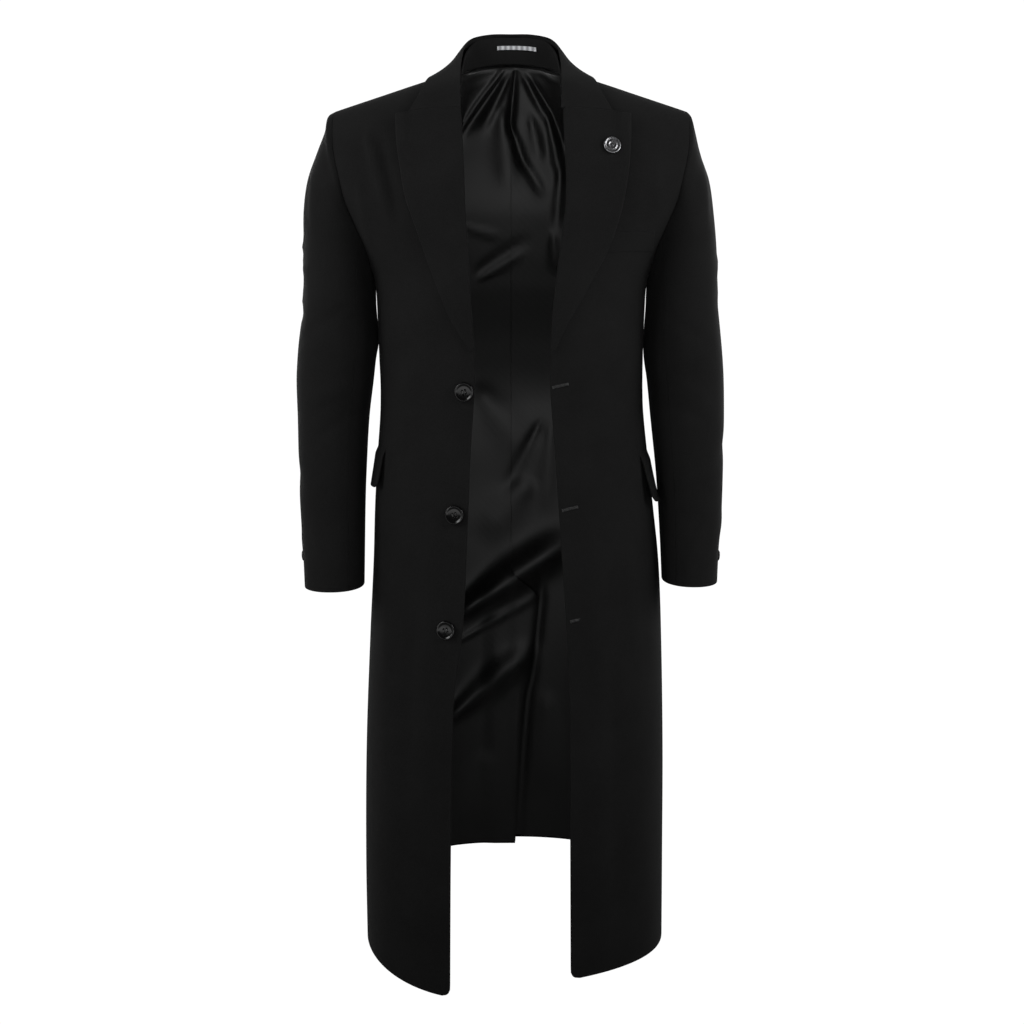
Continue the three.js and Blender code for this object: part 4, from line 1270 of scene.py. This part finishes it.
class OVERCOAT_OT_buttons(bpy.types.Operator):
    """The front buttons and the cuff buttons."""

    bl_idname = "overcoat.buttons"
    bl_label = "Buttons"

    def execute(self, context):
        sides = context.scene.overcoat.button_sides
        for row in FRONT_BUTTONS:
            point = lifted("right", "front", row["x"], row["z"], 0.5)
            direction = normal_at("right", row["x"], row["z"])
            self.add(f"front_button_{row['name']}", FRONT_BUTTON, sides, point * MIRROR, direction * MIRROR)
        for side in SIDES:
            z = np.array(CUFF_BUTTON["z"], float)
            angle = np.array(CUFF_BUTTON["angle"])
            along = sleeve_ring(side, angle + 0.05, z) - sleeve_ring(side, angle - 0.05, z)
            down = sleeve_ring(side, angle, z - 5) - sleeve_ring(side, angle, z + 5)
            direction = unit(np.cross(along, down))
            direction = direction * (-1 if direction[0] < 0 else 1)
            point = sleeve_ring(side, angle, z) + direction * 0.5
            mirror = MIRROR if side == "right" else (1, 1, 1)
            self.add(f"{side}_cuff_button", CUFF_BUTTON, sides // 2, point * mirror, direction * mirror)
        return {"FINISHED"}

    def add(self, node, size, sides, point, direction):
        radius, thickness = size["radius"], size["thickness"]
        vertices, faces = turned(button_profile(radius, thickness), sides)
        spacing = radius * 0.17
        middle = thickness * 0.58
        inside = vertices[:, 2] > thickness * 0.4
        for x in (-spacing, spacing):
            for y in (-spacing, spacing):
                away = np.hypot(vertices[:, 0] - x, vertices[:, 1] - y)
                vertices[:, 2] -= inside * thickness * 0.36 * ease(radius * 0.11, radius * 0.06, away)
        placed = set_on(vertices, point, direction, BUTTON_TURN)
        piece = mesh_object(f"{node}_turned", placed, faces, finish_of("button"))
        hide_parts(node)
        threads = []
        arch = np.linspace(-1, 1, 9)
        for x in (-spacing, spacing):
            for aside in (-0.35, 0.35):
                height = middle - thickness * 0.2 + thickness * 0.34 * (1 - arch**4)
                path = np.stack([x + aside * radius * 0.06 + 0 * arch, arch * spacing * 1.1, height], axis=-1)
                threads.append(strand(path, (1, 0, 0.01), radius * 0.034))
        vertices, faces = joined(threads)
        placed = set_on(vertices, point, direction, BUTTON_TURN)
        mesh_object(f"{node}_thread", placed, faces, finish_of("thread"))


class OVERCOAT_OT_buttonholes(bpy.types.Operator):
    """The worked buttonholes down the wearer's left front."""

    bl_idname = "overcoat.buttonholes"
    bl_label = "Buttonholes"

    def execute(self, context):
        for row in BUTTONHOLES:
            reach, half = BUTTONHOLE["length"] / 2, BUTTONHOLE["stitch"]
            threads = []
            for lip in (-1, 1):
                along = np.linspace(-reach, reach, 40)
                threads.append(self.thread(row, along, 0 * along + lip * 0.4, 0.35 + 0 * along, 0.3))
                for place in np.arange(-reach, reach + 0.1, BUTTONHOLE["spacing"]):
                    out = np.linspace(0.4, half, 5)
                    lift = 0.1 + 0.42 * np.sin(np.pi * np.linspace(0.3, 1, 5))
                    threads.append(self.thread(row, 0 * out + place, lip * out, lift, 0.26))
            for place in (-reach - 0.3, reach + 0.3):
                across = np.linspace(-half, half, 9)
                threads.append(self.thread(row, 0 * across + place, across, 0.3 + 0 * across, 0.36))
            vertices, faces = joined(threads)
            mesh_object(f"buttonhole_{row['name']}_stitched", vertices, faces, finish_of("thread"))
        return {"FINISHED"}

    def thread(self, row, along, across, lift, radius):
        cos, sin = math.cos(BUTTONHOLE["slant"]), math.sin(BUTTONHOLE["slant"])
        x = row["x"] + along * cos - across * sin
        z = row["z"] + along * sin + across * cos
        up = normal_at("left", row["x"], row["z"])
        return strand(lifted("left", "front", x, z, lift), up + (0.01, 0.0, 0.013), radius)


class OVERCOAT_OT_trim(bpy.types.Operator):
    """The lapel pin and the hanger loop."""

    bl_idname = "overcoat.trim"
    bl_label = "Pin and loop"

    def execute(self, context):
        lift = float(lapel_lift(0.72, 0.85)) + 0.6
        point = lifted("left", "front", PIN["x"], PIN["z"], lift)
        direction = normal_at("left", PIN["x"], PIN["z"])
        shares = [
            (0, 0), (0.9, 0), (1, 0.3), (1, 0.7), (0.94, 1), (0.84, 1), (0.78, 0.72), (0.56, 0.72),
            (0.5, 0.92), (0.4, 0.92), (0.34, 0.7), (0.2, 0.8), (0, 0.9),
        ]
        profile = [(PIN["radius"] * out, PIN["thickness"] * up) for out, up in shares]
        vertices, faces = turned(profile, 64)
        pin = mesh_object("lapel_pin_struck", set_on(vertices, point, direction), faces, finish_of("silver"))
        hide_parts("lapel_pin")
        across, along = SPAN["loop"]
        v, w = np.meshgrid(mix(LOOP["low"], LOOP["high"], edged(across, 1.2)),
                           mix(LOOP["from"], LOOP["to"], edged(along, 1.5)))
        ahead = stand_point(v, w + 0.02) - stand_point(v, w - 0.02)
        inward = unit(np.stack([ahead[..., 1], -ahead[..., 0], np.zeros(v.shape)], axis=-1))
        grid = stand_point(v, w) + inward * (WOOL_WALL + LOOP["stand"] + LOOP["wall"])
        loop = shell("hanger_loop_tape", grid, LOOP["wall"], -1, finish_of("tape"))
        declare("hanger_loop")
        return {"FINISHED"}


def split_by_ray(tree, light, seen):
    """Lights the coat with one shader and shows the camera another."""
    camera_ray = add_node(tree, "ShaderNodeLightPath").outputs["Is Camera Ray"]
    both = add_node(tree, "ShaderNodeMixShader", links={"Fac": camera_ray})
    tree.links.new(light, both.inputs[1])
    tree.links.new(seen, both.inputs[2])
    return both.outputs["Shader"]


def glowing_paper(settings):
    """White background paper that glows instead of being lit. The camera sees it evenly white, and the coat is
    lit by its painted glow, a pool bright far out in front that dims toward the coat.
    """
    material, tree, shader, place = new_material("glowing_studio_paper")
    split = add_node(tree, "ShaderNodeSeparateXYZ", links={"Vector": place})
    near, far = FLOOR_GLOW[0]["y"], FLOOR_GLOW[-1]["y"]
    reach = {"From Min": near, "From Max": far}
    ahead = add_node(tree, "ShaderNodeMapRange", reach, {"Value": split.outputs["Y"]})
    pool = add_node(tree, "ShaderNodeValToRGB", links={"Fac": ahead.outputs["Result"]})
    for row in FLOOR_GLOW[1:-1]:
        pool.color_ramp.elements.new((row["y"] - near) / (far - near))
    for element, row in zip(pool.color_ramp.elements, FLOOR_GLOW):
        element.color = (row["strength"], row["strength"], row["strength"], 1)
    tint = ramp(tree, noise(tree, place, 0.125), "#fdfdfd", "#ffffff")
    strength = {"Strength": settings.floor_light}
    # Painted light: the glow that lights the coat, bright far in front of it and dim close to it.
    glow = add_node(tree, "ShaderNodeEmission", strength, {"Color": pool.outputs["Color"]})
    pale = add_node(tree, "ShaderNodeEmission", {"Strength": BACKDROP_WHITE}, {"Color": tint})
    output = next(node for node in tree.nodes if node.type == "OUTPUT_MATERIAL")
    shown = split_by_ray(tree, glow.outputs["Emission"], pale.outputs["Emission"])
    tree.links.new(shown, output.inputs["Surface"])
    tree.nodes.remove(shader)
    return material


class OVERCOAT_OT_stage(bpy.types.Operator):
    """The pale floor, the studio light and the camera."""

    bl_idname = "overcoat.stage"
    bl_label = "Stage"

    def execute(self, context):
        settings = context.scene.overcoat
        scene = context.scene
        scene.view_settings.view_transform = "Standard"
        mesh = bpy.data.meshes.new("pale_floor")
        corners = ((-1, -1), (1, -1), (1, 1), (-1, 1))
        floor_corners = [(FLOOR_REACH * x, FLOOR_REACH * y, settings.floor_drop) for x, y in corners]
        mesh.from_pydata(floor_corners, [], [(0, 1, 2, 3)])
        mesh.materials.append(glowing_paper(settings))
        floor = bpy.data.objects.new("pale_floor", mesh)
        scene.collection.objects.link(floor)
        scene.world = self.room(settings)
        for row in SOFTBOXES:
            self.add_light(**row)
        data = bpy.data.cameras.new("camera")
        data.sensor_width = 36
        data.lens = settings.camera_lens
        camera = bpy.data.objects.new("camera", data)
        camera.location = settings.camera_at
        camera.rotation_euler = (math.radians(90) - settings.camera_tilt, 0, 0)
        scene.collection.objects.link(camera)
        scene.camera = camera
        return {"FINISHED"}

    def room(self, settings):
        """A white room: bright behind the coat, where the backdrop is lit, and dim on the camera's side."""
        world = bpy.data.worlds.new("soft_white_room")
        world.use_nodes = True
        tree = world.node_tree
        tree.nodes.clear()
        place = add_node(tree, "ShaderNodeTexCoord").outputs["Generated"]
        split = add_node(tree, "ShaderNodeSeparateXYZ", links={"Vector": place})
        dusk = {"From Min": ROOM_DUSK["from"], "From Max": ROOM_DUSK["to"]}
        dusk.update({"To Min": settings.room_front, "To Max": settings.room_back})
        behind = add_node(tree, "ShaderNodeMapRange", dusk, {"Value": split.outputs["Y"]})
        lit = add_node(tree, "ShaderNodeBackground", links={"Strength": behind.outputs["Result"]})
        white = add_node(tree, "ShaderNodeBackground", {"Color": (1, 1, 1, 1), "Strength": BACKDROP_WHITE})
        shown = split_by_ray(tree, lit.outputs["Background"], white.outputs["Background"])
        add_node(tree, "ShaderNodeOutputWorld", links={"Surface": shown})
        return world

    def add_light(self, name, turn, height, distance, size, power):
        """A softbox at an angle round from the camera's side and above the coat's middle, facing it."""
        turn, height = math.radians(turn), math.radians(height)
        level = math.cos(height)
        away = Vector((math.sin(turn) * level, -math.cos(turn) * level, math.sin(height)))
        data = bpy.data.lights.new(name, "AREA")
        data.size = size
        data.energy = power
        light = bpy.data.objects.new(name, data)
        light.location = Vector(LIGHT_AIM) + away * distance
        light.rotation_euler = (-away).to_track_quat("-Z", "Y").to_euler()
        bpy.context.scene.collection.objects.link(light)


class OVERCOAT_PT_panel(bpy.types.Panel):
    """Lists the steps in the 3D view's sidebar."""

    bl_idname = "OVERCOAT_PT_panel"
    bl_label = "Overcoat"
    bl_space_type = "VIEW_3D"
    bl_region_type = "UI"
    bl_category = "Overcoat"

    def draw(self, context):
        settings = context.scene.overcoat
        for name in OVERCOAT_PG_settings.__annotations__:
            self.layout.prop(settings, name)
        for step in STEPS:
            self.layout.operator(step.bl_idname)


STEPS = (
    OVERCOAT_OT_stage,
    OVERCOAT_OT_fronts,
    OVERCOAT_OT_backs,
    OVERCOAT_OT_lapels,
    OVERCOAT_OT_collar,
    OVERCOAT_OT_sleeves,
    OVERCOAT_OT_pockets,
    OVERCOAT_OT_lining,
    OVERCOAT_OT_buttons,
    OVERCOAT_OT_buttonholes,
    OVERCOAT_OT_trim,
)
CLASSES = (OVERCOAT_PG_settings, *STEPS, OVERCOAT_PT_panel)


def register():
    for item in CLASSES:
        bpy.utils.register_class(item)
    bpy.types.Scene.overcoat = PointerProperty(type=OVERCOAT_PG_settings)


def unregister():
    del bpy.types.Scene.overcoat
    for item in reversed(CLASSES):
        bpy.utils.unregister_class(item)


def main():
    register()
    bpy.ops.overcoat.stage()
    bpy.ops.overcoat.fronts()
    bpy.ops.overcoat.backs()
    bpy.ops.overcoat.lapels()
    bpy.ops.overcoat.collar()
    bpy.ops.overcoat.sleeves()
    bpy.ops.overcoat.pockets()
    bpy.ops.overcoat.lining()
    bpy.ops.overcoat.buttons()
    bpy.ops.overcoat.buttonholes()
    bpy.ops.overcoat.trim()


if __name__ == "__main__":
    main()
